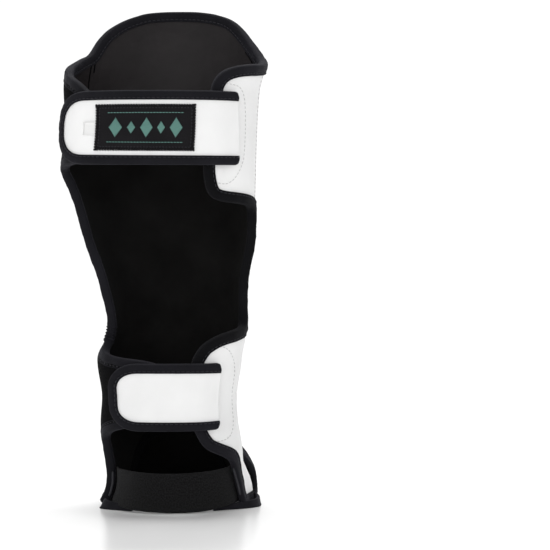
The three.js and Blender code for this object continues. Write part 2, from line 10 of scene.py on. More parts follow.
import bpy
import numpy as np
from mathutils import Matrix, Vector


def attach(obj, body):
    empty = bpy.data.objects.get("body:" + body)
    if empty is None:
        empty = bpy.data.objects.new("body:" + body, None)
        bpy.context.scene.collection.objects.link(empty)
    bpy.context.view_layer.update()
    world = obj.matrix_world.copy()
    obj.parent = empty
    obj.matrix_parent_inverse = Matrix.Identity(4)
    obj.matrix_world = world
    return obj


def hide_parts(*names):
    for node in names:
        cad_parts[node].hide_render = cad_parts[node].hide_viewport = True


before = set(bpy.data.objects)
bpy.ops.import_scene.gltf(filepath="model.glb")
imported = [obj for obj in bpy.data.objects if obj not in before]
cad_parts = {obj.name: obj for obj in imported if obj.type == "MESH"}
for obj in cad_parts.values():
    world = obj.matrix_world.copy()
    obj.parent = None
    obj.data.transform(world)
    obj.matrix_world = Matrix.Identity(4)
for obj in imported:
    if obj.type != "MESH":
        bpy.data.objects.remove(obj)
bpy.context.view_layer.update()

MM = 0.001
DEGREE = math.pi / 180

# Middle of the guard's box in the frame of the tables
BOX_CENTRE = np.array([1.6, 39.8, 0.0])

# Thickness of each layer
LINING = 1.5
LINING_GAP = 0.5
EDGE_PAD = 2.5
SHIN_PAD = 19.0
INSTEP_PAD = 12.0
LOOP_PANEL = 1.3
STRAP = 3.0
ELASTIC = 1.6
PATCH = 1.0
TAG = 0.5
CLOTH_SEAT = 0.05

# Folded binding tape
TAPE = 1.3
TAPE_WIDTH = 7.6
TAPE_GAP = 0.35
TAPE_STITCH = 0.74
STRAP_TAPE_WIDTH = 6.3
TAPE_CORNER = 3.2
FLOOR_EDGE = 1.9

# Distances outward from the lining's inner face
PAD_INNER = LINING + LINING_GAP
TAB_OUTER = PAD_INNER + EDGE_PAD
STRAP_INNER = TAB_OUTER + 4.5
STRAP_OUTER = STRAP_INNER + STRAP
ELASTIC_SEAT = -3.1
INSTEP_SEAT = 5.0

# Swell of the padding away from its bound edges
THIN_EDGE = 10.0
INSTEP_THIN_EDGE = 12.0
SHIN_FADE = 40.0
INSTEP_FADE = 20.0
LEAST_ROUND = 4.0
INSTEP_FULL_ANGLE = 30.0
INSTEP_THIN_ANGLE = 56.0
ARCH_SLOPE = 0.6
DOME_SLOPE = 0.75
SHIN_FULL_ANGLE = 28.0
SHIN_THIN_ANGLE = 84.0

# Dent in the upper right tab, swell of the low right flank, and the thinner edge behind it
DENT = Values(angle=134.7, width=3, rise=296, reach=9, depth=2.1)
FLANK = Values(swell=8, height=46, fade=32, angle=70, width=12)
LOW_EDGE = Values(height=56, fade=22, angle=70, turn=20, thinner=1.9)


def table(names, rows):
    """Columns of numbers by name."""
    return {name: np.array(column, float) for name, column in zip(names.split(), zip(*rows))}


LEG_SECTIONS = table("height centre half_width front back", [
    (0, 14, 57.5, 59.5, 47.5),
    (20, 13.3, 56.3, 57.5, 47),
    (34, 12.3, 55.5, 56.5, 46.5),
    (48, 10.9, 56.2, 56, 46.5),
    (62, 8.4, 56, 55.5, 46.5),
    (78, 6.9, 55.2, 55, 46.8),
    (97, 7.1, 54.1, 54.5, 47.5),
    (130, 7.2, 58.3, 55.5, 48.5),
    (144, 11.6, 56.6, 55.5, 48.5),
    (160, 13.8, 55.8, 56.5, 49.5),
    (196, 10.4, 59.4, 58.5, 51.5),
    (236, 7, 69.5, 61.5, 54.5),
    (268, 3, 74.5, 62.5, 57.5),
    (283, 0.5, 77.5, 63, 58.5),
    (297, -2, 80.4, 63.5, 59.5),
    (333, 0.3, 79.2, 64.5, 60),
    (366, 0.9, 80.8, 66.5, 59.5),
    (389, 4.5, 82.5, 68.5, 57.5),
    (411, 4, 83.5, 71.5, 55.5),
    (436, 5, 83.5, 76.5, 53.5),
])
RIM_FLARE = Values(left=0.13, right=0.03, height=24, power=1.8, angle=62, fade=26)
BACK_SQUARE = 2.5

TOP_EDGE = table("angle height", [
    (-167.5, 336), (-165, 343.5), (-160, 348), (-152, 351.5), (-140, 356), (-131, 362), (-124, 368),
    (-116, 372), (-104, 376.6), (-90, 384), (-73, 390.2), (-64, 394.4), (-56, 397.8), (-51, 404.8),
    (-45.5, 414.3), (-39, 422.7), (-25, 433.4), (-13, 438.1), (0, 439.4), (12, 439.3), (26, 436.9),
    (39, 431.6), (48, 423.4), (55.5, 414.4), (63, 405.9), (75, 395.6), (90, 389.4), (104, 386.3),
    (118, 385), (128, 383.6), (138.2, 380.3), (142, 377.2), (144.5, 372.5), (146, 364), (149, 336),
])
BOTTOM_EDGE = table("angle height", [
    (-62, FLOOR_EDGE), (-56, 6), (-48, 20), (-35, 43), (-20, 57), (0, 62), (20, 57), (35, 43), (48, 20),
    (56, 6), (62, FLOOR_EDGE),
])

BODY_ANGLES = (-91.5, -82, -71, -60, -50, -40, -27, -9, 9, 27, 40, 50, 60, 71, 84, 95)
LEFT_EDGE = Values(angle=-91.5, low_top=152, high_bottom=282)
RIGHT_EDGE = Values(angle=95, low_top=169, high_bottom=249)

LOWER_LEFT_TAB = table("angle low high", [
    (-91.5, FLOOR_EDGE, 152), (-92.2, 12, 150), (-92.8, 29, 148.2), (-93.6, 42, 146), (-95.3, 52, 143),
    (-98.5, 58.6, 140), (-103, 63, 137.2), (-109, 66.2, 135.6), (-118, 69.4, 133.8), (-134, 73.3, 132),
    (-155, 76.8, 130.4), (-171, 80.5, 127.3), (-175.5, 85, 122.8), (-177, 92, 115),
])
LOWER_RIGHT_TAB = table("angle low high", [
    (95, FLOOR_EDGE, 169), (96, FLOOR_EDGE, 163), (99, FLOOR_EDGE, 159.4), (104.5, FLOOR_EDGE, 157.8),
    (106.2, 7, 157.4), (107.2, 13, 157.2), (108.4, 20, 157), (111, 28.5, 156.7), (113.8, 36.5, 156.3),
    (119.6, 44.4, 155.4), (129.2, 48.6, 153.9), (140.5, 53, 151.1), (147.5, 56.6, 147.8),
    (151, 62.5, 145.6), (154.5, 71, 142.4), (158.3, 86, 129),
])
UPPER_LEFT_TAB = table("angle low", [
    (-91.5, 282), (-93, 288), (-96, 295.3), (-102, 299), (-114, 301.4), (-128, 302.8), (-142, 304.3),
    (-153, 306.2), (-160, 309), (-165, 314), (-167.5, 321.5),
])
UPPER_RIGHT_TAB = table("angle low", [
    (95, 249), (96, 256), (98, 260.5), (102, 264), (108.5, 266.2), (118.4, 267.9), (130.6, 269.3),
    (138, 270.3), (142.5, 271.5), (146, 274), (148, 278.5), (149, 286),
])

STRAPS = {
    "upper_strap": {"root_low": 127.1, "root_high": 130, "flat": 158.5, "end": 249.5, "low": 301.5,
                    "high": 360.5, "corner": 27, "flat_size": (0.059, 0.17), "flat_area": 0.0099},
    "lower_strap": {"root_low": 135.4, "root_high": 135.7, "flat": 158, "end": 229.5, "low": 73.5,
                    "high": 128, "corner": 21, "flat_size": (0.0545, 0.0976), "flat_area": 0.0052},
}
PATCH_SPAN = Values(start=158.5, end=216.5, low=312, high=350)
TAG_SPAN = Values(start=217.0, end=225.6, low=324.3, high=335.8)

ELASTIC_SPAN = Values(start=98, end=268, bow_start=136, bow_end=244, bow=6)
ELASTIC_EDGES = Values(low_ends=7, low_middle=0.2, high_start=38, high_middle=34, high_end=34.5)

INSTEP_HALF_ANGLE = 82
INSTEP_CORNER = Values(radius=13, turn=12)
INSTEP_TOP = Values(half_angle=47, front=94, side=40, bend=1.7)
INSTEP_FLOOR = Values(centre=15.2, half_width=65, heel=22, toe=147.5, round=0.8, nose=0.9)
INSTEP_REAR = Values(thinner=1.7, fade=14, lip=0.6)
INSTEP_SLOPE = Values(front_dip=0.3, front_power=1, side_power=4.6)


def smooth(value):
    t = np.clip(value, 0, 1)
    return t * t * (3 - 2 * t)


def mix(start, end, share):
    return start + (end - start) * share


def bell(value):
    return np.exp(-value * value)


def wrap(angle):
    """The same angle between -180 and 180."""
    return np.mod(angle + 180, 360) - 180


def run_length(points):
    """Length of a line from its start to each of its points."""
    return np.concatenate([[0], np.cumsum(np.linalg.norm(np.diff(points, axis=0), axis=1))])


def along_table(rows, key, column, value):
    """Smooth value of a column at keys between rows, with no overshoot."""
    keys, values = rows[key], rows[column]
    value = np.clip(np.asarray(value, float), keys[0], keys[-1])
    width = np.diff(keys)
    slope = np.diff(values) / width
    tangent = np.concatenate([slope[:1], np.zeros(len(slope) - 1), slope[-1:]])
    before, after = slope[:-1], slope[1:]
    agree = before * after > 0
    total = np.where(agree, before + after, 1)
    tangent[1:-1] = np.where(agree, 2 * before * after / total, 0)
    lower = np.clip(np.searchsorted(keys, value, "right") - 1, 0, len(width) - 1)
    t = (value - keys[lower]) / width[lower]
    bend = (tangent[lower] * (1 - t) - tangent[lower + 1] * t) * width[lower] * t * (1 - t)
    return mix(values[lower], values[lower + 1], smooth(t)) + bend


def top_edge(angle):
    return along_table(TOP_EDGE, "angle", "height", angle)


def bottom_edge(angle):
    return along_table(BOTTOM_EDGE, "angle", "height", angle)


def leg_surface(angle, height):
    """Inner face of the leg's lining."""
    angle, height = np.broadcast_arrays(np.asarray(angle, float), np.asarray(height, float))
    section = {name: along_table(LEG_SECTIONS, "height", name, height) for name in LEG_SECTIONS}
    across, along = np.sin(angle * DEGREE), np.cos(angle * DEGREE)
    square = np.clip(1 - np.abs(across) ** BACK_SQUARE, 0, 1) ** (1 / BACK_SQUARE)
    depth = np.where(along > 0, section["front"] * along, -section["back"] * square)
    low = np.clip(1 - height / RIM_FLARE.height, 0, 1) ** RIM_FLARE.power
    turned = smooth((np.abs(wrap(angle)) - RIM_FLARE.angle) / RIM_FLARE.fade)
    flare = 1 + mix(RIM_FLARE.left, RIM_FLARE.right, (1 + across) / 2) * low * turned
    x = section["centre"] + section["half_width"] * across * flare
    return np.stack([x, depth * flare, height], -1)


def leg_outer(angle, rise):
    """Outer face of the leg pad: thick over the shin, thin at the sides and along bound edges."""
    wrapped = wrap(angle)
    turned = (np.abs(wrapped) - SHIN_FULL_ANGLE) / (SHIN_THIN_ANGLE - SHIN_FULL_ANGLE)
    from_top = (top_edge(wrapped) - rise) * DOME_SLOPE
    from_bottom = (rise - bottom_edge(wrapped)) * ARCH_SLOPE
    from_edge = np.minimum(from_top, from_bottom)
    swell = (1 - smooth(turned)) * smooth((from_edge - THIN_EDGE) / SHIN_FADE)
    thin = smooth((LOW_EDGE.height - rise) / LOW_EDGE.fade)
    thin = thin * smooth((wrapped - LOW_EDGE.angle) / LOW_EDGE.turn)
    dent = DENT.depth * bell((wrapped - DENT.angle) / DENT.width)
    dent = dent * bell((rise - DENT.rise) / DENT.reach)
    flank = FLANK.swell * smooth((FLANK.height - rise) / FLANK.fade)
    flank = flank * bell((wrapped - FLANK.angle) / FLANK.width)
    return TAB_OUTER + (SHIN_PAD - EDGE_PAD) * swell - LOW_EDGE.thinner * thin + flank - dent


def unit(vectors):
    return vectors / np.maximum(np.linalg.norm(vectors, axis=-1, keepdims=True), 1e-9)


class Sheet:
    """A surface over an angle and a rise, with its probes and normals."""

    def __init__(self, surface, angle_probe, rise_probe):
        self.surface = surface
        self.angle_probe = angle_probe
        self.rise_probe = rise_probe

    def tangents(self, angle, rise):
        a, r = self.angle_probe, self.rise_probe
        across = (self.surface(angle + a, rise) - self.surface(angle - a, rise)) / (2 * a)
        up = (self.surface(angle, rise + r) - self.surface(angle, rise - r)) / (2 * r)
        return across, up

    def normal(self, angle, rise):
        across, up = self.tangents(angle, rise)
        return unit(np.cross(up, across))

    def lift(self, angle, rise, distance):
        angle, rise = np.broadcast_arrays(np.asarray(angle, float), np.asarray(rise, float))
        distance = np.broadcast_to(distance, angle.shape)
        return self.surface(angle, rise) + self.normal(angle, rise) * distance[..., None]


LEG = Sheet(leg_surface, 0.5, 0.5)


def instep_top(angle):
    """Upper edge of the instep pad, on the outside of the leg pad."""
    share = np.abs(angle) / INSTEP_HALF_ANGLE
    leg_angle = INSTEP_TOP.half_angle * np.sign(angle) * share
    rise = mix(INSTEP_TOP.front, INSTEP_TOP.side, share ** INSTEP_TOP.bend)
    return LEG.lift(leg_angle, rise, leg_outer(leg_angle, rise) + INSTEP_SEAT)


def instep_floor(angle):
    """Lower edge of the instep pad, on the floor round the toes."""
    side = np.sin(angle * DEGREE)
    reach = np.sign(side) * np.abs(side) ** INSTEP_FLOOR.round
    nose = np.cos(angle * DEGREE) ** INSTEP_FLOOR.nose
    x = INSTEP_FLOOR.centre + INSTEP_FLOOR.half_width * reach
    y = mix(INSTEP_FLOOR.heel, INSTEP_FLOOR.toe, nose)
    return np.stack([x, y, np.full_like(x, FLOOR_EDGE)], -1)


def instep_surface(angle, rise):
    """Inner face of the instep's lining: rise 0 on the floor, rise 1 on the leg pad."""
    angle, rise = np.broadcast_arrays(np.asarray(angle, float), np.asarray(rise, float))
    side = np.clip(np.abs(angle) / INSTEP_HALF_ANGLE, 0, 1) ** 2
    top, floor = instep_top(angle), instep_floor(angle)
    power = mix(INSTEP_SLOPE.front_power, INSTEP_SLOPE.side_power, side)
    out = 1 - np.sign(rise) * np.abs(rise) ** power
    drop = 1 - rise + INSTEP_SLOPE.front_dip * (1 - side) * rise * (1 - rise)
    share = np.stack([out, out, drop], -1)
    return mix(top, floor, share)


INSTEP = Sheet(instep_surface, 0.5, 0.01)


def soft_least(*distances):
    """Smallest of some distances, rounded where two are alike."""
    return -LEAST_ROUND * np.log(sum(np.exp(-distance / LEAST_ROUND) for distance in distances))


def from_rear(angle):
    """Distance of an angle of the instep from its rear edge."""
    return (INSTEP_HALF_ANGLE - np.abs(angle)) * DEGREE * INSTEP_FLOOR.half_width


def rear_share(angle):
    """How near an angle of the instep is to its two rear edges."""
    return 1 - smooth(from_rear(angle) / INSTEP_REAR.fade)


def instep_outer(angle, rise):
    """Outer face of the instep pad: thick over the foot, thin along its edges."""
    slope = np.linalg.norm(instep_top(angle) - instep_floor(angle), axis=-1)
    from_edge = soft_least(rise * slope, (1 - rise) * slope, from_rear(angle))
    turned = (np.abs(angle) - INSTEP_FULL_ANGLE) / (INSTEP_THIN_ANGLE - INSTEP_FULL_ANGLE)
    swell = (1 - smooth(turned)) * smooth((from_edge - INSTEP_THIN_EDGE) / INSTEP_FADE)
    return TAB_OUTER - INSTEP_REAR.thinner * rear_share(angle) + (INSTEP_PAD - EDGE_PAD) * swell


# Meshes

def finish_piece(name, points, faces, material, uv):
    """A smooth-shaded mesh object in metres, riding on the part."""
    mesh = bpy.data.meshes.new(name)
    mesh.from_pydata(((points - BOX_CENTRE) * MM).tolist(), [], [list(f) for f in faces])
    mesh.polygons.foreach_set("use_smooth", np.ones(len(mesh.polygons), bool))
    corners = np.empty(len(mesh.loops), int)
    mesh.loops.foreach_get("vertex_index", corners)
    layer = mesh.uv_layers.new(name="cloth")
    layer.data.foreach_set("uv", (uv[corners] * MM).ravel())
    mesh.materials.append(material)
    mesh.update()
    piece = bpy.data.objects.new(name, mesh)
    bpy.context.scene.collection.objects.link(piece)
    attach(piece, "root")
    return piece


class Builder:
    """Collects points, faces and cloth coordinates, and welds points that coincide."""

    def __init__(self):
        self.points, self.uv, self.faces, self.count = [], [], [], 0

    def add(self, points, uv):
        points = np.asarray(points, float)
        shape = points.shape[:-1]
        index = np.arange(self.count, self.count + int(np.prod(shape))).reshape(shape)
        self.points.append(points.reshape(-1, 3))
        self.uv.append(np.broadcast_to(uv, shape + (2,)).reshape(-1, 2))
        self.count += index.size
        return index

    def quads(self, a, b, c, d):
        self.faces.append(np.stack([np.ravel(a), np.ravel(b), np.ravel(c), np.ravel(d)], -1))

    def grid(self, index, flip=False):
        corners = [index[:-1, :-1], index[1:, :-1], index[1:, 1:], index[:-1, 1:]]
        self.quads(*(corners[::-1] if flip else corners))

    def cap(self, ring, count, flip):
        """Closes the end of a tube, across from one side of its ring to the other."""
        for i in range(count):
            face = [ring[i], ring[i + 1], ring[-2 - i], ring[-1 - i]]
            self.quads(*(face[::-1] if flip else face))

    def piece(self, name, material, slot):
        points, uv = np.concatenate(self.points), np.concatenate(self.uv)
        _, first, index = np.unique(np.round(points, 3), axis=0, return_index=True, return_inverse=True)
        faces = []
        for face in index.ravel()[np.concatenate(self.faces)].tolist():
            corners = [v for i, v in enumerate(face) if v != face[i - 1]]
            if len(corners) > 2:
                faces.append(corners)
        return finish_piece(name, points[first], faces, material, uv[first])


def cloth_coordinates(angle, rise, scale):
    return np.stack(np.broadcast_arrays(angle * scale, rise), -1)


# Millimetres of cloth for each degree, and for the whole rise of the instep
LEG_SCALE = 68 * DEGREE
INSTEP_SCALE = 60 * DEGREE
INSTEP_RISE = 90.0


def wall(name, sheet, grids, rim, inner, outer, material, slot, uv_scale=(LEG_SCALE, 1.0)):
    """Closed wall between two offsets of grids that share one rim."""
    build = Builder()

    def face(angle, rise, distance):
        uv = cloth_coordinates(angle, rise * uv_scale[1], uv_scale[0])
        return build.add(sheet.lift(angle, rise, distance(angle, rise)), uv)

    for angle, rise in grids:
        build.grid(face(angle, rise, outer))
        build.grid(face(angle, rise, inner), flip=True)
    angle, rise = rim
    out, into = face(angle, rise, outer), face(angle, rise, inner)
    build.quads(np.roll(out, -1), out, into, np.roll(into, -1))
    return build.piece(name, material, slot)


def grid_rim(angle, rise):
    """Closed rim round a grid."""
    return np.concatenate([
        np.stack([angle[:-1, 0], rise[:-1, 0]]), np.stack([angle[-1, :-1], rise[-1, :-1]]),
        np.stack([angle[:0:-1, -1], rise[:0:-1, -1]]), np.stack([angle[0, :0:-1], rise[0, :0:-1]]),
    ], 1)


def refine(values, count):
    """Values at evenly divided places between those given."""
    values = np.asarray(values, float)
    places = np.arange(len(values))
    return np.interp(np.linspace(0, len(values) - 1, (len(values) - 1) * count + 1), places, values)


def refine_tab(tab, spacing):
    """Columns of a tab close together along its edges."""
    seats = LEG.surface(tab["angle"], tab["low"]), LEG.surface(tab["angle"], tab["high"])
    step = np.maximum(*[np.linalg.norm(np.diff(seat, axis=0), axis=1) for seat in seats])
    length = np.concatenate([[0], np.cumsum(step)])
    places = [0.0]
    for start, end in zip(length[:-1], length[1:]):
        places += list(np.linspace(start, end, max(2, round((end - start) / spacing)) + 1)[1:])
    rows = {"place": length, **tab}
    return {name: along_table(rows, "place", name, np.array(places)) for name in tab}


LOWER_SHARES = np.concatenate([np.linspace(0, 0.16, 5)[:-1], np.linspace(0.16, 0.86, 14)[:-1],
                               np.linspace(0.86, 1, 5)])
UPPER_SHARES = np.concatenate([np.linspace(0, 0.1, 4)[:-1], np.linspace(0.1, 0.9, 16)[:-1],
                               np.linspace(0.9, 1, 5)])
MIDDLE_SHARES = np.linspace(0, 1, 14)
TAB_SPACING = 3.2
COLUMN_SPLIT = 4


def leg_layout():
    """Fine grids of the leg pad and its closed rim, from the left end of the floor edge."""
    angle = refine(BODY_ANGLES, COLUMN_SPLIT)
    share = (angle - LEFT_EDGE.angle) / (RIGHT_EDGE.angle - LEFT_EDGE.angle)
    low_top = mix(LEFT_EDGE.low_top, RIGHT_EDGE.low_top, share)
    high_bottom = mix(LEFT_EDGE.high_bottom, RIGHT_EDGE.high_bottom, share)

    def band(shares, low, high):
        return np.broadcast_to(angle, (len(shares), len(angle))), mix(low, high, shares[:, None])

    bands = [
        band(LOWER_SHARES, bottom_edge(angle), low_top),
        band(MIDDLE_SHARES, low_top, high_bottom),
        band(UPPER_SHARES, high_bottom, top_edge(angle)),
    ]
    tabs = {}
    for name, rows, shares in [
        ("lower_left", LOWER_LEFT_TAB, LOWER_SHARES), ("upper_left", UPPER_LEFT_TAB, UPPER_SHARES),
        ("upper_right", UPPER_RIGHT_TAB, UPPER_SHARES), ("lower_right", LOWER_RIGHT_TAB, LOWER_SHARES),
    ]:
        fine = refine_tab({"high": top_edge(rows["angle"]), **rows}, TAB_SPACING)
        if name.startswith("upper"):
            fine["high"] = top_edge(fine["angle"])
        order = slice(None, None, -1) if name.endswith("left") else slice(None)
        column = fine["angle"][order]
        rise = mix(fine["low"][order], fine["high"][order], shares[:, None])
        tabs[name] = np.broadcast_to(column, rise.shape), rise
    rim = [
        *left_tab_rim(tabs["lower_left"]),
        *[(LEFT_EDGE.angle, r) for r in bands[1][1][1:-1, 0]],
        *left_tab_rim(tabs["upper_left"]),
        *zip(angle[1:-1], bands[2][1][-1, 1:-1]),
        *right_tab_rim(tabs["upper_right"]),
        *[(RIGHT_EDGE.angle, r) for r in bands[1][1][-2:0:-1, -1]],
        *right_tab_rim(tabs["lower_right"]),
        *zip(angle[-2:0:-1], bands[0][1][0, -2:0:-1]),
    ]
    return [*bands, *tabs.values()], np.array(rim).T, tabs


def left_tab_rim(grid):
    """Lower edge outward, free end upward, upper edge back."""
    angle, rise = grid
    return [*zip(angle[0, ::-1], rise[0, ::-1]), *zip(angle[1:, 0], rise[1:, 0]),
            *zip(angle[-1, 1:], rise[-1, 1:])]


def right_tab_rim(grid):
    """Upper edge outward, free end downward, lower edge back."""
    angle, rise = grid
    return [*zip(angle[-1], rise[-1]), *zip(angle[-2::-1, -1], rise[-2::-1, -1]),
            *zip(angle[0, -2::-1], rise[0, -2::-1])]


# Least share of the tape's width in a tight turn, and the edges' pitch and rounding
LEAST_SQUEEZE = 0.55
EDGE_SPACING = 3.0
STRAP_EDGE_SPACING = 1.3
EDGE_ROUNDS = 2


class Edge:
    """An edge of a sheet at even steps along its length."""

    def __init__(self, sheet, rim, closed, spacing, rounds, width=TAPE_WIDTH):
        self.sheet, self.closed, self.width, self.lip = sheet, closed, width, 1.0
        angle, rise = rim
        if closed:
            angle, rise = np.append(angle, angle[0]), np.append(rise, rise[0])
        seat = sheet.surface(angle, rise)
        length = run_length(seat)
        self.length = length[-1]
        count = max(8, round(self.length / spacing))
        place = np.linspace(0, self.length, count + 1)
        if closed:
            place = place[:-1]
        self.place = place
        self.angle, self.rise = np.interp(place, length, angle), np.interp(place, length, rise)
        for _ in range(rounds):
            self.angle, self.rise = self.rounded(self.angle), self.rounded(self.rise)
        seat = sheet.surface(self.angle, self.rise)
        ahead, behind = self.neighbours(seat)
        self.tangent = unit(ahead - behind)
        ahead, behind = self.neighbours(self.tangent)
        turn = np.linalg.norm(ahead - behind, axis=-1) / (2 * spacing)
        self.radius = 1 / np.maximum(turn, 1e-3)
        self.squeeze = np.clip(self.radius / width, LEAST_SQUEEZE, 1)
        self.normal = sheet.normal(self.angle, self.rise)
        self.inward = unit(np.cross(self.normal, self.tangent))
        across, up = sheet.tangents(self.angle, self.rise)
        a, u, skew = (across * across).sum(-1), (up * up).sum(-1), (across * up).sum(-1)
        scale = 1 / (a * u - skew * skew)
        in_a, in_u = (across * self.inward).sum(-1), (up * self.inward).sum(-1)
        self.per_angle = (u * in_a - skew * in_u) * scale
        self.per_rise = (a * in_u - skew * in_a) * scale

    def neighbours(self, values):
        if self.closed:
            return np.roll(values, -1, 0), np.roll(values, 1, 0)
        return np.concatenate([values[1:], values[-1:]]), np.concatenate([values[:1], values[:-1]])

    def rounded(self, values):
        ahead, behind = self.neighbours(values)
        return values * 0.5 + (ahead + behind) * 0.25

    def place_at(self, reach, side, rise, faces):
        """Points at a reach inward from the edge, on a face (0 inner, 1 outer) plus a lift."""
        arm = np.maximum(reach, 0)
        angle, height = self.angle + self.per_angle * arm, self.rise + self.per_rise * arm
        inner, outer = faces
        distance = mix(inner(angle, height), outer(angle, height), side) + rise
        points = self.sheet.lift(angle, height, distance)
        points = points + self.inward * np.minimum(reach, 0)[..., None]
        points[..., 2] = np.maximum(points[..., 2], 0)
        return points


# Tape's arm in shares of its width, its sewn groove, its thin end, its fold and its hidden back
TAPE_ARM = np.array([1, 0.96, 0.88, 0.8, 0.74, 0.68, 0.6, 0.4, 0.2])
TAPE_FORM = Values(groove=0.65, groove_width=0.8, end=0.3, fold=1.15, back=0.9, root=0.3, gap=0.1)
PUCKER = Values(radius=14, pitch=5.3, height=0.8)

# Slow ripples of the tape: height, two waves in radians for each millimetre, and the second one's shift
RIPPLES = [(0.22, 0.31, 0.117, 1), (0.15, 0.83, 0.29, 2)]


def tape_profile(width):
    """Skin of the folded tape, from the end of its inner arm over the fold to the end of its outer arm."""
    form, arm = TAPE_FORM, TAPE_ARM
    lip = TAPE_GAP + TAPE
    reach = arm * width
    groove = 1 - form.groove * bell((reach - TAPE_STITCH * width) / form.groove_width)
    height = (TAPE_GAP + TAPE * groove) * np.where(arm == 1, form.end, 1)
    turn = np.linspace(-90, 90, 9) * DEGREE
    fold_reach = -lip * form.fold * np.cos(turn)
    fold_side = (np.sin(turn) + 1) / 2
    fold_lift = lip * np.sin(turn)
    reach_all = np.concatenate([reach, fold_reach, reach[::-1]])
    side_all = np.concatenate([np.zeros(len(arm)), fold_side, np.ones(len(arm))])
    lift_all = np.concatenate([-height, fold_lift, height[::-1]])
    end, root, gap = width * form.back, form.root, form.gap
    back = [(end, 1, gap), (root, 1, gap), (root, 0, -gap), (end, 0, -gap)]
    return np.concatenate([np.stack([reach_all, side_all, lift_all], -1), np.array(back)])


def corner_trim(distance, radius):
    """How far a round corner cuts in at a distance from the end it rounds."""
    share = np.clip(1 - distance / radius, 0, 1)
    return radius * (1 - np.sqrt(1 - share * share))


def tape(name, edge, faces, material, slot):
    """Folded tape swept along an edge, puckered a little where the edge turns tightly."""
    profile = tape_profile(edge.width)
    build = Builder()
    tight = bell(edge.radius / PUCKER.radius) if edge.closed else np.zeros(len(edge.place))
    ripple = np.sin(edge.place * 2 * math.pi / PUCKER.pitch) * PUCKER.height * tight
    for height, fast, slow, shift in RIPPLES:
        ripple = ripple + height * np.sin(edge.place * fast) * np.sin(edge.place * slow + shift)
    from_end = np.minimum(edge.place, edge.length - edge.place)
    trim = 0 if edge.closed else corner_trim(from_end, TAPE_CORNER)
    rings, run = [], 0.0
    for i, (reach, side, lift) in enumerate(profile):
        kept = 1 - trim / edge.width
        reach_here = np.where(reach > 0, reach * edge.squeeze * kept, reach) + trim
        sign = np.sign(lift) if abs(lift) > 0.2 else 0
        points = edge.place_at(reach_here, side, (lift + sign * ripple) * edge.lip, faces)
        step = profile[i] - profile[i - 1] if i else np.zeros(3)
        run += math.hypot(step[0], step[1] * 6 + step[2])
        rings.append(build.add(points, np.stack([edge.place, np.full_like(edge.place, run)], -1)))
    index = np.stack(rings)
    index = np.concatenate([index, index[:1]])
    if edge.closed:
        index = np.concatenate([index, index[:, :1]], 1)
    build.grid(index, flip=True)
    if not edge.closed:
        for end in (0, -1):
            build.cap(index[:-1, end], len(profile) // 2 - 1, end == -1)
    return build.piece(name, material, slot)


STITCH_LENGTH = 2.9
STITCH_PITCH = 4.1
STITCH_RADIUS = 0.34
STITCH_SIDES = 5
STITCH_START = 0.5

# Rings of a stitch: share of its length, then height and width in radii
STITCH_RINGS = [(0, -0.9, 0.5), (0.1, 0.2, 1), (0.5, 0.75, 1.05), (0.9, 0.2, 1), (1, -0.9, 0.5)]


def spokes(up, side, count):
    """Unit spokes round each point of a line."""
    turn = np.arange(count) * 2 * math.pi / count
    return up[:, None] * np.cos(turn)[None, :, None] + side[:, None] * np.sin(turn)[None, :, None]


def stitch_run(points, normals, closed=False, length=STITCH_LENGTH, pitch=STITCH_PITCH):
    """Start, end and normal of each stitch along a line of points."""
    if closed:
        points, normals = np.vstack([points, points[:1]]), np.vstack([normals, normals[:1]])
    run = run_length(points)
    count = max(1, int(run[-1] / pitch))
    start = np.arange(count) * (run[-1] / count) + STITCH_START

    def sample(place, values):
        return np.stack([np.interp(place, run, values[:, k]) for k in range(3)], -1)

    return sample(start, points), sample(start + length, points), unit(sample(start + length / 2, normals))


def stitches(name, runs, material, radius=STITCH_RADIUS, slot=None):
    """Short threads that dive into the cloth at both ends."""
    start, end, normal = (np.concatenate(part) for part in zip(*runs))
    along = unit(end - start)
    spoke = spokes(normal, np.cross(normal, along), STITCH_SIDES)
    build = Builder()
    rings = []
    for share, height, width in STITCH_RINGS:
        centre = mix(start, end, share) + normal * height * radius
        ring = centre[:, None] + spoke * radius * width
        rings.append(build.add(ring, np.zeros(2)))
    for here, after in zip(rings[:-1], rings[1:]):
        build.quads(here, np.roll(here, -1, 1), np.roll(after, -1, 1), after)
    return build.piece(name, material, slot)


def edge_stitches(edge, faces):
    """Two runs of stitches through a tape, one on each face."""
    height = TAPE_GAP + TAPE * 0.5
    runs = []
    for side, sign in [(0, -1), (1, 1)]:
        points = edge.place_at(TAPE_STITCH * edge.width * edge.squeeze, side, sign * height * edge.lip, faces)
        runs.append(stitch_run(points, edge.normal * sign, edge.closed))
    return runs


def spline(points, count=24):
    """Smooth line through a few points."""
    p = np.asarray(points, float)
    p = np.vstack([2 * p[0] - p[1], p, 2 * p[-1] - p[-2]])
    t = np.linspace(0, 1, count, endpoint=False)[:, None]
    parts = []
    for a, b, c, d in zip(p[:-3], p[1:-2], p[2:-1], p[3:]):
        parts.append(0.5 * (2 * b + (c - a) * t + (2 * a - 5 * b + 4 * c - d) * t ** 2
                            + (3 * b - a - 3 * c + d) * t ** 3))
    return np.vstack([*parts, p[-2:-1]])


# Materials

def material(name):
    made = bpy.data.materials.new(name)
    made.use_nodes = True
    return made, made.node_tree.nodes, made.node_tree.links, made.node_tree.nodes["Principled BSDF"]


def fill(made, values):
    """Values on a node's own sockets and settings."""
    for key, value in values.items():
        if key in made.inputs:
            made.inputs[key].default_value = value
        else:
            setattr(made, key, value)


def node(nodes, kind, **values):
    made = nodes.new(kind)
    fill(made, values)
    return made


def texture(nodes, links, place, kind, **values):
    """A texture over some coordinates."""
    made = node(nodes, "ShaderNodeTex" + kind, **values)
    links.new(place, made.inputs["Vector"])
    return made


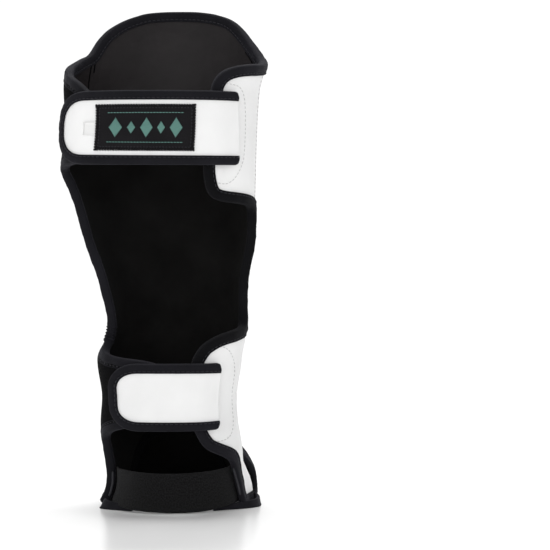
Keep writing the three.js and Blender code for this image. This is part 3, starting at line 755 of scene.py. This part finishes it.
def bump(nodes, links, shader, height, strength, distance, below=None):
    made = node(nodes, "ShaderNodeBump", Strength=strength, Distance=distance)
    links.new(height, made.inputs["Height"])
    if below:
        links.new(below.outputs["Normal"], made.inputs["Normal"])
    links.new(made.outputs["Normal"], shader.inputs["Normal"])
    return made


def tint(nodes, links, factor, low, high, stops=(0.3, 0.7)):
    ramp = nodes.new("ShaderNodeValToRGB")
    for stop, place, colour in zip(ramp.color_ramp.elements, stops, (low, high)):
        stop.position = place
        stop.color = (*colour, 1)
    links.new(factor, ramp.inputs["Fac"])
    return ramp.outputs["Color"]


def leather_material(name, low, high):
    """Smooth leather: faint clouds of colour, fine grain and pores."""
    made, nodes, links, shader = material(name)
    place = nodes.new("ShaderNodeTexCoord").outputs["Object"]
    cloud = texture(nodes, links, place, "Noise", Scale=22.0, Detail=3.0, Roughness=0.55)
    links.new(tint(nodes, links, cloud.outputs["Fac"], low, high), shader.inputs["Base Color"])
    grain = texture(nodes, links, place, "Voronoi", Scale=900.0, feature="SMOOTH_F1", Smoothness=0.6)
    pores = texture(nodes, links, place, "Noise", Scale=160.0, Detail=5.0, Roughness=0.6)
    first = bump(nodes, links, shader, grain.outputs["Distance"], 0.12, 0.0004)
    bump(nodes, links, shader, pores.outputs["Fac"], 0.1, 0.0008, first)
    rough = node(nodes, "ShaderNodeMapRange", **{"To Min": 0.4, "To Max": 0.56})
    links.new(pores.outputs["Fac"], rough.inputs["Value"])
    links.new(rough.outputs["Result"], shader.inputs["Roughness"])
    shader.inputs["Specular IOR Level"].default_value = 0.35
    return made


def cloth_material(name, low, high, threads, depth, roughness, sheen, sheen_tint, specular=0.12, speck=26.0,
                   wrinkle=0.0):
    """Woven cloth: fine warp and weft over the cloth's own coordinates."""
    made, nodes, links, shader = material(name)
    uv = node(nodes, "ShaderNodeUVMap", uv_map="cloth").outputs["UV"]
    joined = node(nodes, "ShaderNodeMath", operation="MULTIPLY")
    for side, direction in enumerate("XY"):
        wave = texture(nodes, links, uv, "Wave", Scale=threads, Distortion=0.6, Detail=1.0,
                       bands_direction=direction, **{"Detail Scale": 2.0})
        links.new(wave.outputs["Fac"], joined.inputs[side])
    fuzz = texture(nodes, links, uv, "Noise", Scale=420.0, Detail=3.0)
    blotch = texture(nodes, links, uv, "Noise", Scale=speck, Detail=3.0)
    links.new(tint(nodes, links, blotch.outputs["Fac"], low, high), shader.inputs["Base Color"])
    first = bump(nodes, links, shader, joined.outputs["Value"], depth, 0.0004)
    second = bump(nodes, links, shader, fuzz.outputs["Fac"], depth * 0.6, 0.0004, first)
    if wrinkle:
        rumple = texture(nodes, links, uv, "Noise", Scale=55.0, Detail=2.0)
        bump(nodes, links, shader, rumple.outputs["Fac"], wrinkle, 0.003, second)
    fill(shader, {"Roughness": roughness, "Specular IOR Level": specular, "Sheen Weight": sheen,
                  "Sheen Roughness": 0.4, "Sheen Tint": (*sheen_tint, 1)})
    return made


LEATHER = leather_material("white_leather", (0.75, 0.75, 0.748), (0.80, 0.80, 0.798))
# Painted light and shade: the lit lining is a lighter, glossier copy of the shaded lining, lit on the dome
# and in shade lower down.
LIT_LINING = cloth_material("painted_lit_lining", (0.0075, 0.006, 0.0066), (0.013, 0.0105, 0.0115), 420, 0.25, 0.56,
                       0.06, (0.5, 0.42, 0.44), 0.22, wrinkle=0.5)
SHADED_LINING = cloth_material("painted_shaded_lining", (0.0042, 0.004, 0.0039), (0.0078, 0.0075, 0.0073), 360, 0.3, 0.9,
                         0.03, (0.4, 0.4, 0.4), 0.06)
BINDING = cloth_material("binding_tape", (0.0055, 0.0055, 0.0072), (0.0095, 0.0092, 0.0122), 330, 0.5, 0.75,
                         0.08, (0.5, 0.5, 0.6), 0.09)
SHADED_TAPE = cloth_material("shaded_tape", (0.003, 0.003, 0.0036), (0.0055, 0.0055, 0.0066), 330, 0.5, 0.8,
                             0.05, (0.5, 0.5, 0.55), 0.06)
# Darkest copy of the tape cloth: painted shade in the ankle arch and along the lining's creases.
DEEP_SHADE_CLOTH = cloth_material("painted_deep_shade", (0.002, 0.002, 0.0022), (0.0035, 0.0035, 0.004), 330, 0.4, 0.9, 0.01,
                           (0.4, 0.4, 0.4), 0.03)
LOOP = cloth_material("loop_pile", (0.0018, 0.0018, 0.002), (0.004, 0.004, 0.0044), 260, 0.9, 0.95, 0.03,
                      (0.4, 0.4, 0.42), 0.03)
KNIT = cloth_material("elastic_knit", (0.002, 0.002, 0.0022), (0.013, 0.013, 0.0135), 520, 0.6, 0.85, 0.08,
                      (0.5, 0.5, 0.52), 0.09, 700.0)
WOVEN = cloth_material("woven_patch", (0.006, 0.0056, 0.0066), (0.0105, 0.0098, 0.0112), 380, 0.6, 0.8, 0.08,
                       (0.5, 0.5, 0.5), 0.1)
GREEN = cloth_material("embroidery", (0.085, 0.19, 0.165), (0.13, 0.27, 0.235), 520, 0.9, 0.6, 0.1,
                       (0.6, 0.8, 0.75), 0.2)
TAG_CLOTH = cloth_material("tag_satin", (0.74, 0.74, 0.735), (0.8, 0.8, 0.79), 500, 0.3, 0.6, 0.05,
                           (1, 1, 1), 0.2)
DARK_THREAD = cloth_material("dark_thread", (0.018, 0.018, 0.022), (0.03, 0.03, 0.035), 900, 0.3, 0.6, 0.1,
                             (0.6, 0.6, 0.7), 0.2)
WHITE_THREAD = cloth_material("white_thread", (0.5, 0.5, 0.5), (0.62, 0.62, 0.62), 900, 0.3, 0.6, 0.05,
                              (1, 1, 1), 0.2)


# Leg pad

def level(distance):
    return lambda angle, rise: np.full(np.shape(angle), float(distance))


grids, leg_rim, tabs = leg_layout()
leg_faces = level(0), leg_outer

leg_lining = wall("leg_lining_cloth", LEG, grids, leg_rim, level(0), level(LINING), SHADED_LINING, "lining")
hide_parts("leg_lining")


def paint_shading(piece, cloth, chosen):
    """Painted light and shade: a lighter or darker copy of a cloth on the faces whose middles are chosen, in
    the frame of the tables.
    """
    mesh = piece.data
    mesh.materials.append(cloth)
    centres = np.empty(len(mesh.polygons) * 3)
    mesh.polygons.foreach_get("center", centres)
    x, y, z = (centres.reshape(-1, 3) / MM + BOX_CENTRE).T
    index = np.empty(len(mesh.polygons), np.int32)
    mesh.polygons.foreach_get("material_index", index)
    index[chosen(x, y, z)] = len(mesh.materials) - 1
    mesh.polygons.foreach_set("material_index", index)


# Row of the grid where the lit copy of the lining begins, painted light above it and painted shade below, and
# where the tape lies in painted shade
LIT_ROW = 8
RIGHT_SHADE = Values(side=20.0, low=100.0, high=330.0)
ARCH_SHADE = Values(depth=15.0, height=75.0)


def in_arch(x, y, z):
    return (y > ARCH_SHADE.depth) & (z < ARCH_SHADE.height)


def on_right(x, y, z):
    return (x > RIGHT_SHADE.side) & (z > RIGHT_SHADE.low) & (z < RIGHT_SHADE.high)


def clear_of_arch(run):
    """The stitches of a run that lie outside the arch."""
    keep = ~in_arch(*run[0].T)
    return tuple(part[keep] for part in run)


def in_lit_rows(x, y, z):
    """The upper rows of the leg's grid, which take the lit copy of the lining."""
    centre, half = (along_table(LEG_SECTIONS, "height", name, z) for name in ("centre", "half_width"))
    turned = np.degrees(np.arcsin(np.clip((x - centre) / half, -1, 1)))
    angle = np.where(y > 0, turned, np.copysign(180, turned) - turned)
    rows = [np.concatenate([UPPER_LEFT_TAB[key][::-1], UPPER_RIGHT_TAB[key]]) for key in ("angle", "low")]
    low = np.interp(angle, *rows)
    return z > mix(low, top_edge(angle), UPPER_SHARES[LIT_ROW])


# Painted light: the lit copy of the lining on the upper rows, and the shaded copy everywhere else.
paint_shading(leg_lining, LIT_LINING, in_lit_rows)
leg_shell = wall("leg_shell_leather", LEG, grids, leg_rim, level(PAD_INNER), leg_outer, LEATHER, "leather")
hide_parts("leg_shell")

leg_edge = Edge(LEG, leg_rim, True, EDGE_SPACING, EDGE_ROUNDS)
leg_tape = tape("leg_binding_tape", leg_edge, leg_faces, BINDING, "binding")
# Painted shade: darker copies of the tape on the right side and in the ankle arch.
paint_shading(leg_tape, SHADED_TAPE, on_right)
paint_shading(leg_tape, DEEP_SHADE_CLOTH, in_arch)
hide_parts("leg_binding", "leg_hem")
dark_runs = [clear_of_arch(run) for run in edge_stitches(leg_edge, leg_faces)]


# Instep pad

def instep_layout(rows=30, columns=56):
    """Fine grid of the instep pad, with round corners, and its closed rim."""
    side = np.array(float(INSTEP_HALF_ANGLE))
    slope = float(np.linalg.norm(instep_top(side) - instep_floor(side)))
    rise = np.concatenate([np.linspace(0, 0.12, 6)[:-1], np.linspace(0.12, 0.88, rows - 10)[:-1],
                           np.linspace(0.88, 1, 6)])
    from_end = np.minimum(rise, 1 - rise) * slope
    share = np.clip(1 - from_end / INSTEP_CORNER.radius, 0, 1)
    limit = INSTEP_HALF_ANGLE - INSTEP_CORNER.turn * (1 - np.sqrt(1 - share * share))
    angle = limit[:, None] * np.linspace(-1, 1, columns + 1)
    rise = np.broadcast_to(rise[:, None], angle.shape)
    return [(angle, rise)], grid_rim(angle, rise)


instep_grids, instep_rim = instep_layout()
instep_faces = level(0), instep_outer
instep_uv = (INSTEP_SCALE, INSTEP_RISE)
instep_lining = wall("instep_lining_cloth", INSTEP, instep_grids, instep_rim, level(0), level(LINING),
                     SHADED_LINING, "lining", instep_uv)
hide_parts("instep_lining")
instep_shell = wall("instep_shell_leather", INSTEP, instep_grids, instep_rim, level(PAD_INNER), instep_outer,
                    LEATHER, "leather", instep_uv)
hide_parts("instep_shell")
instep_edge = Edge(INSTEP, instep_rim, True, EDGE_SPACING, EDGE_ROUNDS)
instep_edge.lip = mix(1, INSTEP_REAR.lip, rear_share(instep_edge.angle))
instep_tape = tape("instep_binding_tape", instep_edge, instep_faces, BINDING, "binding")
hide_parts("instep_binding")
dark_runs += edge_stitches(instep_edge, instep_faces)[1:]


# Loop fastening over the whole outside of the left tabs

def loop_panel(name, grid, node_name, inset=3.0):
    angle, rise = grid
    low, high = rise[0], rise[-1]
    share = (rise - low) / (high - low)
    inner = mix(low + inset, high - inset, share)
    angle, inner = angle[:, 1:], inner[:, 1:]
    piece = wall(name, LEG, [(angle, inner)], grid_rim(angle, inner), level(TAB_OUTER + CLOTH_SEAT),
                 level(TAB_OUTER + LOOP_PANEL), LOOP, "loop")
    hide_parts(node_name)
    return piece


upper_loop = loop_panel("upper_loop_pile", tabs["upper_left"], "upper_loop_panel")
lower_loop = loop_panel("lower_loop_pile", tabs["lower_left"], "lower_loop_panel")


# Straps

ROOT_DROP = 2.2
ROOT_FADE = 18.0
ROOT_FILL = 2.0
ROOT_FILL_FADE = 8.0
STRAP_CROWN = 0.7


def strap_root(strap):
    return (strap["root_low"] + strap["root_high"]) / 2


def strap_span(strap):
    """Middle of a strap's height, and half of the height."""
    return (strap["low"] + strap["high"]) / 2, (strap["high"] - strap["low"]) / 2


def strap_layout(strap, rows=14, columns=60):
    """Grid of a strap, slanted and round cornered at its root, with a wide round free end."""
    corner, root = strap["corner"], strap_root(strap)
    middle, half = strap_span(strap)
    across, _ = LEG.tangents(np.array([root, float(strap["end"])]), np.array([middle, middle]))
    root_scale, end_scale = np.linalg.norm(across, axis=-1)
    near, turn = TAPE_CORNER / root_scale, corner / end_scale
    first = np.linspace(root, root + near, 7)[:-1]
    straight = np.linspace(root + near, strap["end"] - turn, columns)[:-1]
    bend = strap["end"] + turn * (np.sin(np.linspace(0, 90, 12) * DEGREE) - 1)
    angle = np.concatenate([first, straight, bend])
    reach = half - corner_trim((strap["end"] - angle) * end_scale, corner)
    across_share = np.linspace(-1, 1, rows + 1)[:, None]
    cut = corner_trim((angle - root) * root_scale, TAPE_CORNER)
    rise = middle + across_share * (reach - cut)
    edge_rise = middle + across_share * reach
    slant = across_share * (strap["root_high"] - strap["root_low"]) / 2
    angle = angle + slant * np.clip((strap["flat"] - angle) / (strap["flat"] - root), 0, 1)
    edge = np.concatenate([
        np.stack([angle[-1], edge_rise[-1]]), np.stack([angle[-2:0:-1, -1], edge_rise[-2:0:-1, -1]]),
        np.stack([angle[0, ::-1], edge_rise[0, ::-1]]),
    ], 1)
    return [(angle, rise)], grid_rim(angle, rise), edge


def strap_faces(strap):
    """Inner and outer face: close to the tab at the root, then lifted over the calf, and a little crowned."""
    root, (middle, half) = strap_root(strap), strap_span(strap)

    def inner(angle, rise):
        return STRAP_INNER - ROOT_DROP * (1 - smooth((angle - root) / ROOT_FADE))

    def outer(angle, rise):
        return inner(angle, rise) + STRAP + STRAP_CROWN * np.clip(1 - ((rise - middle) / half) ** 2, 0, 1)

    return inner, outer


def sewn_root(strap):
    """Inner face of a strap's leather, down on the tab at its root."""
    root, inner = strap_root(strap), strap_faces(strap)[0]
    return lambda angle, rise: inner(angle, rise) - ROOT_FILL * (1 - smooth((angle - root) / ROOT_FILL_FADE))


for strap_name, strap in STRAPS.items():
    strap_grids, strap_rim, strap_edge_line = strap_layout(strap)
    faces = strap_faces(strap)
    leather = wall(f"{strap_name}_leather", LEG, strap_grids, strap_rim, sewn_root(strap), faces[1],
                   LEATHER, "leather")
    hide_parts(strap_name)
    strap_edge = Edge(LEG, strap_edge_line, False, STRAP_EDGE_SPACING, EDGE_ROUNDS, STRAP_TAPE_WIDTH)
    strap_tape = tape(f"{strap_name}_tape", strap_edge, faces, BINDING, "binding")
    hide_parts(f"{strap_name}_binding")
    dark_runs += edge_stitches(strap_edge, faces)[1:]


# Patch and size tag

TAG_CURL = 0.7
OVERLOCK = Values(pitch=2.2, inside=1.7, outside=0.8, radius=0.85, seat=0.05, dive=-0.25)
BORDER = Values(inset=2.6, step=1.0, seat=0.02, length=1.7, pitch=2.7)
LOZENGES = Values(count=5, pitch=13.0, half_width=5.2, half_height=8.4, thread=0.62,
                  small=0.62, overlap=0.3, seat=0.1)
MOTIF_LINE = Values(rise=12.4, points=80, seat=0.05, length=2.2, pitch=2.6)
MOTIF_RADIUS = 0.36
upper_inner, upper_outer = strap_faces(STRAPS["upper_strap"])


def plate(name, span, inner, outer, cloth, slot, rows, columns):
    angle, rise = np.meshgrid(np.linspace(span.start, span.end, columns + 1),
                              np.linspace(span.low, span.high, rows + 1))
    return wall(name, LEG, [(angle, rise)], grid_rim(angle, rise), inner, outer, cloth, slot)


def patch_inner(angle, rise):
    return upper_outer(angle, rise) + CLOTH_SEAT


def patch_outer(angle, rise):
    return patch_inner(angle, rise) + PATCH


def tag_inner(angle, rise):
    share = (rise - TAG_SPAN.low) / (TAG_SPAN.high - TAG_SPAN.low)
    return patch_inner(angle, rise) + TAG_CURL * (2 * share - 1) ** 4


def tag_outer(angle, rise):
    return tag_inner(angle, rise) + TAG


patch = plate("patch_cloth", PATCH_SPAN, patch_inner, patch_outer, WOVEN, "woven", 12, 32)
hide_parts("patch")
tag = plate("size_tag_cloth", TAG_SPAN, tag_inner, tag_outer, TAG_CLOTH, "tag", 12, 6)
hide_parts("size_tag")

PATCH_SINES = [math.sin(end * DEGREE) for end in (PATCH_SPAN.start, PATCH_SPAN.end)]
PATCH_MIDDLE = (PATCH_SPAN.low + PATCH_SPAN.high) / 2
PATCH_HALF_HEIGHT = (PATCH_SPAN.high - PATCH_SPAN.low) / 2
patch_ends = LEG.lift(np.array([PATCH_SPAN.start, PATCH_SPAN.end]), PATCH_MIDDLE, STRAP_OUTER)
PATCH_HALF_WIDTH = float(np.linalg.norm(patch_ends[0] - patch_ends[1])) / 2


def on_patch(x, z, lift):
    """Points and normals on the patch, at millimetres from its middle."""
    share = 0.5 + np.asarray(x, float) / (2 * PATCH_HALF_WIDTH)
    angle = 180 - np.degrees(np.arcsin(mix(*PATCH_SINES, share)))
    angle, rise = np.broadcast_arrays(angle, PATCH_MIDDLE + np.asarray(z, float))
    return LEG.lift(angle, rise, patch_outer(angle, rise) + lift), LEG.normal(angle, rise)


def patch_border(inset):
    """Corners of the patch, or of a line inside its edge."""
    w, h = PATCH_HALF_WIDTH - inset, PATCH_HALF_HEIGHT - inset
    return np.array([(-w, -h), (w, -h), (w, h), (-w, h)])


def between(corners, pitch):
    """Places along each side of a closed outline, and the way outward there."""
    places, outward = [], []
    for start, end in zip(corners, np.roll(corners, -1, 0)):
        along = end - start
        count = round(float(np.linalg.norm(along)) / pitch)
        places.append(start + along * (np.arange(count) / count)[:, None])
        outward.append(np.tile(unit(np.array([along[1], -along[0]])), (count, 1)))
    return np.concatenate(places), np.concatenate(outward)


def overlock():
    """Threads side by side over the edge of the patch."""
    place, outward = between(patch_border(0), OVERLOCK.pitch)
    start, end = place - outward * OVERLOCK.inside, place + outward * OVERLOCK.outside
    inner_points, normal = on_patch(*start.T, OVERLOCK.seat)
    return inner_points, on_patch(*end.T, OVERLOCK.dive)[0], normal


def border_run():
    """Stitches along a line inside the edge of the patch."""
    place = between(patch_border(BORDER.inset), BORDER.step)[0]
    return stitch_run(*on_patch(*place.T, BORDER.seat), True, BORDER.length, BORDER.pitch)


def lozenge_threads():
    """Upright threads that fill a row of lozenges, every second one smaller."""
    count, wide, high = LOZENGES.count, LOZENGES.half_width, LOZENGES.half_height
    x, reach = [], []
    for i in range(count):
        size = 1 if i % 2 == 0 else LOZENGES.small
        middle = (i - (count - 1) / 2) * LOZENGES.pitch
        across = np.arange(-wide * size, wide * size, LOZENGES.thread) + LOZENGES.thread / 2
        x.append(middle + across)
        reach.append(high * size * (1 - np.abs(across) / (wide * size)) + LOZENGES.overlap)
    x, reach = np.concatenate(x), np.concatenate(reach)
    start, normal = on_patch(x, -reach, LOZENGES.seat)
    return start, on_patch(x, reach, LOZENGES.seat)[0], normal


def motif_line(z):
    half = LOZENGES.pitch * LOZENGES.count / 2
    points, normals = on_patch(np.linspace(-half, half, MOTIF_LINE.points), z, MOTIF_LINE.seat)
    return stitch_run(points, normals, False, MOTIF_LINE.length, MOTIF_LINE.pitch)


patch_edge = stitches("patch_edge", [overlock()], WOVEN, OVERLOCK.radius, "woven")
motif_runs = [lozenge_threads(), motif_line(MOTIF_LINE.rise), motif_line(-MOTIF_LINE.rise)]
patch_motif = stitches("patch_motif", motif_runs, GREEN, MOTIF_RADIUS, "woven")
dark_runs.append(border_run())


# Elastic

def elastic_layout(rows=12, columns=90):
    """Grid of the elastic and its closed rim, lowest behind the heel."""
    share = np.linspace(0, 1, columns + 1)
    angle = mix(ELASTIC_SPAN.start, ELASTIC_SPAN.end, share)
    dip = np.sin(share * math.pi) ** 2
    low = mix(ELASTIC_EDGES.low_ends, ELASTIC_EDGES.low_middle, dip)
    ends = mix(ELASTIC_EDGES.high_start, ELASTIC_EDGES.high_end, share)
    high = mix(ends, ELASTIC_EDGES.high_middle, dip)
    rise = mix(low, high, np.linspace(0, 1, rows + 1)[:, None])
    angle = np.broadcast_to(angle, rise.shape)
    return [(angle, rise)], grid_rim(angle, rise)


def elastic_outer(angle, rise):
    span = ELASTIC_SPAN
    share = np.clip((angle - span.bow_start) / (span.bow_end - span.bow_start), 0, 1)
    return ELASTIC_SEAT + span.bow * np.sin(share * math.pi) ** 2


elastic_grids, elastic_rim = elastic_layout()
elastic = wall("foot_elastic_knit", LEG, elastic_grids, elastic_rim,
               lambda angle, rise: elastic_outer(angle, rise) - ELASTIC, elastic_outer, KNIT, "elastic")
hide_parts("foot_elastic")


# How abruptly a ridge ends, and the share of its section that is left there
RIDGE_END = Values(power=20, least=0.02)


def ridge_along(build, points, normals, radius, sides=8):
    """Round ridge along a line of points, closed at both ends."""
    along = unit(np.gradient(points, axis=0))
    side = unit(np.cross(normals, along))
    spoke = spokes(np.cross(along, side), side, sides)
    share = 1 - np.linspace(-1, 1, len(points)) ** RIDGE_END.power
    size = radius * np.sqrt(np.clip(share, RIDGE_END.least, 1))
    index = build.add(points[:, None] + spoke * size[:, None, None], np.zeros(2))
    build.quads(index[:-1], np.roll(index, -1, 1)[:-1], np.roll(index, -1, 1)[1:], index[1:])
    for ring in (index[0, ::-1], index[-1]):
        for i in range(1, sides - 1):
            build.quads(ring[:1], ring[i:i + 1], ring[i + 1:i + 2], ring[i + 1:i + 2])


def leg_ridges(name, lines, radius, cloth, slot):
    """Ridges along lines on the leg, each at an offset from its lining's inner face."""
    build = Builder()
    for offset, line in lines:
        angle, rise = spline(line).T
        ridge_along(build, LEG.lift(angle, rise, offset), LEG.normal(angle, rise), radius)
    return build.piece(name, cloth, slot)


# Folded ends of the elastic, seen as thin ridges beside the binding, in the lighter thread cloth as a painted
# highlight along each ridge
ELASTIC_FOLDS = [
    (0.5, [(-95.5, 31), (-95, 23), (-94.6, 16), (-94.6, 9)]),
    (1.5, [(116.3, 36), (113.5, 28.5), (110.9, 20), (109.7, 12)]),
]
FOLD_RADIUS = 1.0
elastic_folds = leg_ridges("elastic_folds", ELASTIC_FOLDS, FOLD_RADIUS, DARK_THREAD, "elastic")

# Creases of the lining beside the tape of the dome, in the darkest cloth as painted shade along each crease
LINING_CREASES = [
    (0.3, [(55.4, 402.3), (59.9, 397.4), (65.4, 390.5)]),
    (0.3, [(-50.8, 399), (-53.4, 392.3), (-54.6, 383)]),
    (0.3, [(-57, 392), (-58.4, 380.5), (-57.7, 365)]),
]
CREASE_RADIUS = 0.9
lining_creases = leg_ridges("lining_creases", LINING_CREASES, CREASE_RADIUS, DEEP_SHADE_CLOTH, "lining")

# Pinches of the tape in a tight inner corner of the leg's edge: reach, face and lift of each point
PINCH_CORNER = Values(angle=-91.5, rise=151)
PINCH_ARC = [(5.5, 0, -1.5), (3, 0, -1.9), (0, 0, -1.7), (-1.7, 0.1, -0.6), (-1.9, 0.5, 0),
             (-1.7, 0.9, 0.6), (0, 1, 1.7), (3, 1, 1.9), (5.5, 1, 1.5)]
PINCH_RADIUS = 0.75
PINCH_COUNT = 5
pinch_lines = np.stack([leg_edge.place_at(np.full(len(leg_edge.place), float(reach)), side, lift, leg_faces)
                        for reach, side, lift in PINCH_ARC], 1)
pinches = Builder()
from_corner = leg_edge.angle - PINCH_CORNER.angle, leg_edge.rise - PINCH_CORNER.rise
nearest = np.argmin(from_corner[0] ** 2 + from_corner[1] ** 2)
for i in range(nearest - PINCH_COUNT // 2, nearest + PINCH_COUNT // 2 + 1):
    line = spline(pinch_lines[i], 4)
    ridge_along(pinches, line, np.broadcast_to(leg_edge.tangent[i], line.shape), PINCH_RADIUS)
pinches.piece("tape_pinches", BINDING, "binding")

# Dark strips that run along the floor under the elastic's ends, painted shade in the hollow there
SHADE_STRIPS = {
    "left": [(-97, 3.2), (-104, 4), (-111, 1), (-118, -4), (-126, -7), (-138, -9)],
    "right": [(66, 13), (78, 13.6), (88, 13), (95, 11.5), (101, 7.5), (106, 3), (112, -2), (121, -7),
              (130, -9), (142, -10.5)],
}
STRIP_FORM = Values(height=9, thickness=2.6, round=7, blunt=0.75, end=0.45, floor=0.15)


def shade_strip(build, line):
    """Low round-topped strip along the floor, thinner towards its hidden end."""
    angle, offset = spline(line).T
    angle, offset = angle[:, None], offset[:, None]
    place = run_length(LEG.surface(angle, 0.0)[:, 0])
    start = 1 - STRIP_FORM.blunt * corner_trim(place, STRIP_FORM.round) / STRIP_FORM.round
    taper = (np.linspace(1, STRIP_FORM.end, len(angle)) * start)[:, None]
    turn = np.linspace(0, math.pi, 9)
    straight = np.linspace(0, 1, 5)
    half = STRIP_FORM.thickness / 2
    top = STRIP_FORM.height - half
    out = np.concatenate([np.full(5, half), half * np.cos(turn)[1:-1], np.full(5, -half)])
    up = np.concatenate([straight * top, top + half * np.sin(turn)[1:-1], straight[::-1] * top])
    rise = STRIP_FORM.floor + up * taper
    points = LEG.lift(angle, rise, offset + out)
    points[..., 2] = rise
    index = build.add(points, cloth_coordinates(angle, rise, LEG_SCALE))
    index = np.concatenate([index, index[:, :1]], 1)
    build.grid(index, flip=line[0][0] < 0)
    for row, flip in ((0, line[0][0] < 0), (-1, line[0][0] > 0)):
        build.cap(index[row, :-1], len(out) // 2, flip)


strip_builder = Builder()
for line in SHADE_STRIPS.values():
    shade_strip(strip_builder, line)
strip_builder.piece("painted_shade_strips", BINDING, "binding")


# Stitches on the leather and the tape

UPPER_ROOT_SEAM = [
    (147, 286), (136, 283.5), (129, 287), (123.5, 294), (120, 301), (118.2, 309), (118, 330), (119, 347),
    (121, 358), (124, 364), (128, 367.5), (135, 369), (141.5, 369),
]
LOWER_ROOT_SEAM = [
    (146, 142.5), (138, 143.6), (131, 142.6), (124, 139), (118.5, 134), (114.5, 127), (112.4, 119),
    (111.6, 106), (110.6, 90), (110.5, 77), (113, 70.5), (117.5, 65.7), (123, 63), (129, 61.5), (136.5, 61),
    (147.5, 64.5),
]
SIDE_SEAM = [(97.2, 268), (97.2, 325), (97.2, 383)]
LEATHER_STITCH = Values(seat=0.05, length=2.4, pitch=3.6, radius=0.3)


def leather_run(points):
    """Stitches along a line on the outside of the leg pad."""
    angle, rise = spline(points).T
    seat = LEG.lift(angle, rise, leg_outer(angle, rise) + LEATHER_STITCH.seat)
    return stitch_run(seat, LEG.normal(angle, rise), False, LEATHER_STITCH.length, LEATHER_STITCH.pitch)


stitches("root_seams", [leather_run(line) for line in (UPPER_ROOT_SEAM, LOWER_ROOT_SEAM, SIDE_SEAM)],
         WHITE_THREAD, LEATHER_STITCH.radius)
stitches("tape_seams", dark_runs, DARK_THREAD)


# Floor, light and camera

FLOOR_FINISH = {"Base Color": (0.94, 0.94, 0.94, 1), "Roughness": 0.25, "Specular IOR Level": 0.5}
SKY = {"From Min": 0.35, "From Max": 0.8, "To Min": 1.06, "To Max": 0.35}

# Lights in metres and watts
LIGHTS = {
    "key": {"location": (-0.4, -2.4, 0.52), "target": (0, 0, 0.2), "size": 1.6, "power": 15.5},
    "top": {"location": (0.0, 0.9, 3.6), "target": (0, 0, 0), "size": 1.4, "power": 95},
}

# Camera in the frame of the tables, its tilt in degrees, and its focal length in pixels of the image
CAMERA = Values(location=(99.4, -1900, 270), down=2, sensor=36, focal=2159, image=550)


def floor_material():
    made, *_, shader = material("pale_floor")
    fill(shader, FLOOR_FINISH)
    return made


def build_floor(radius=1.1, sides=96):
    turn = np.arange(sides) * 2 * math.pi / sides
    ring = np.stack([np.cos(turn), np.sin(turn), np.zeros(sides)], -1) * radius
    mesh = bpy.data.meshes.new("floor")
    mesh.from_pydata(ring.tolist(), [], [list(range(sides))])
    mesh.materials.append(floor_material())
    floor = bpy.data.objects.new("floor", mesh)
    bpy.context.scene.collection.objects.link(floor)


def add_world():
    """White studio, bright at the horizon and dimmer overhead."""
    world = bpy.data.worlds.new("studio")
    world.use_nodes = True
    nodes, links = world.node_tree.nodes, world.node_tree.links
    axes = nodes.new("ShaderNodeSeparateXYZ")
    links.new(nodes.new("ShaderNodeTexCoord").outputs["Generated"], axes.inputs["Vector"])
    fade = node(nodes, "ShaderNodeMapRange", **SKY)
    links.new(axes.outputs["Z"], fade.inputs["Value"])
    links.new(fade.outputs["Result"], nodes["Background"].inputs["Strength"])
    nodes["Background"].inputs["Color"].default_value = (1, 1, 1, 1)
    bpy.context.scene.world = world


def add_area(name, location, target, size, power):
    lamp = bpy.data.lights.new(name, "AREA")
    lamp.energy = power
    lamp.size = size
    lit = bpy.data.objects.new(name, lamp)
    lit.location = location
    lit.rotation_euler = (Vector(target) - Vector(location)).to_track_quat("-Z", "Y").to_euler()
    bpy.context.scene.collection.objects.link(lit)


def add_camera():
    lens = bpy.data.cameras.new("camera")
    lens.sensor_width = CAMERA.sensor
    lens.lens = CAMERA.sensor * CAMERA.focal / CAMERA.image
    camera = bpy.data.objects.new("camera", lens)
    camera.location = (np.array(CAMERA.location) - BOX_CENTRE) * MM
    camera.rotation_euler = (math.radians(90 - CAMERA.down), 0, 0)
    bpy.context.scene.collection.objects.link(camera)
    bpy.context.scene.camera = camera


build_floor()
add_world()
for light_name, light in LIGHTS.items():
    add_area(light_name, **light)
add_camera()
bpy.context.scene.view_settings.view_transform = "Standard"
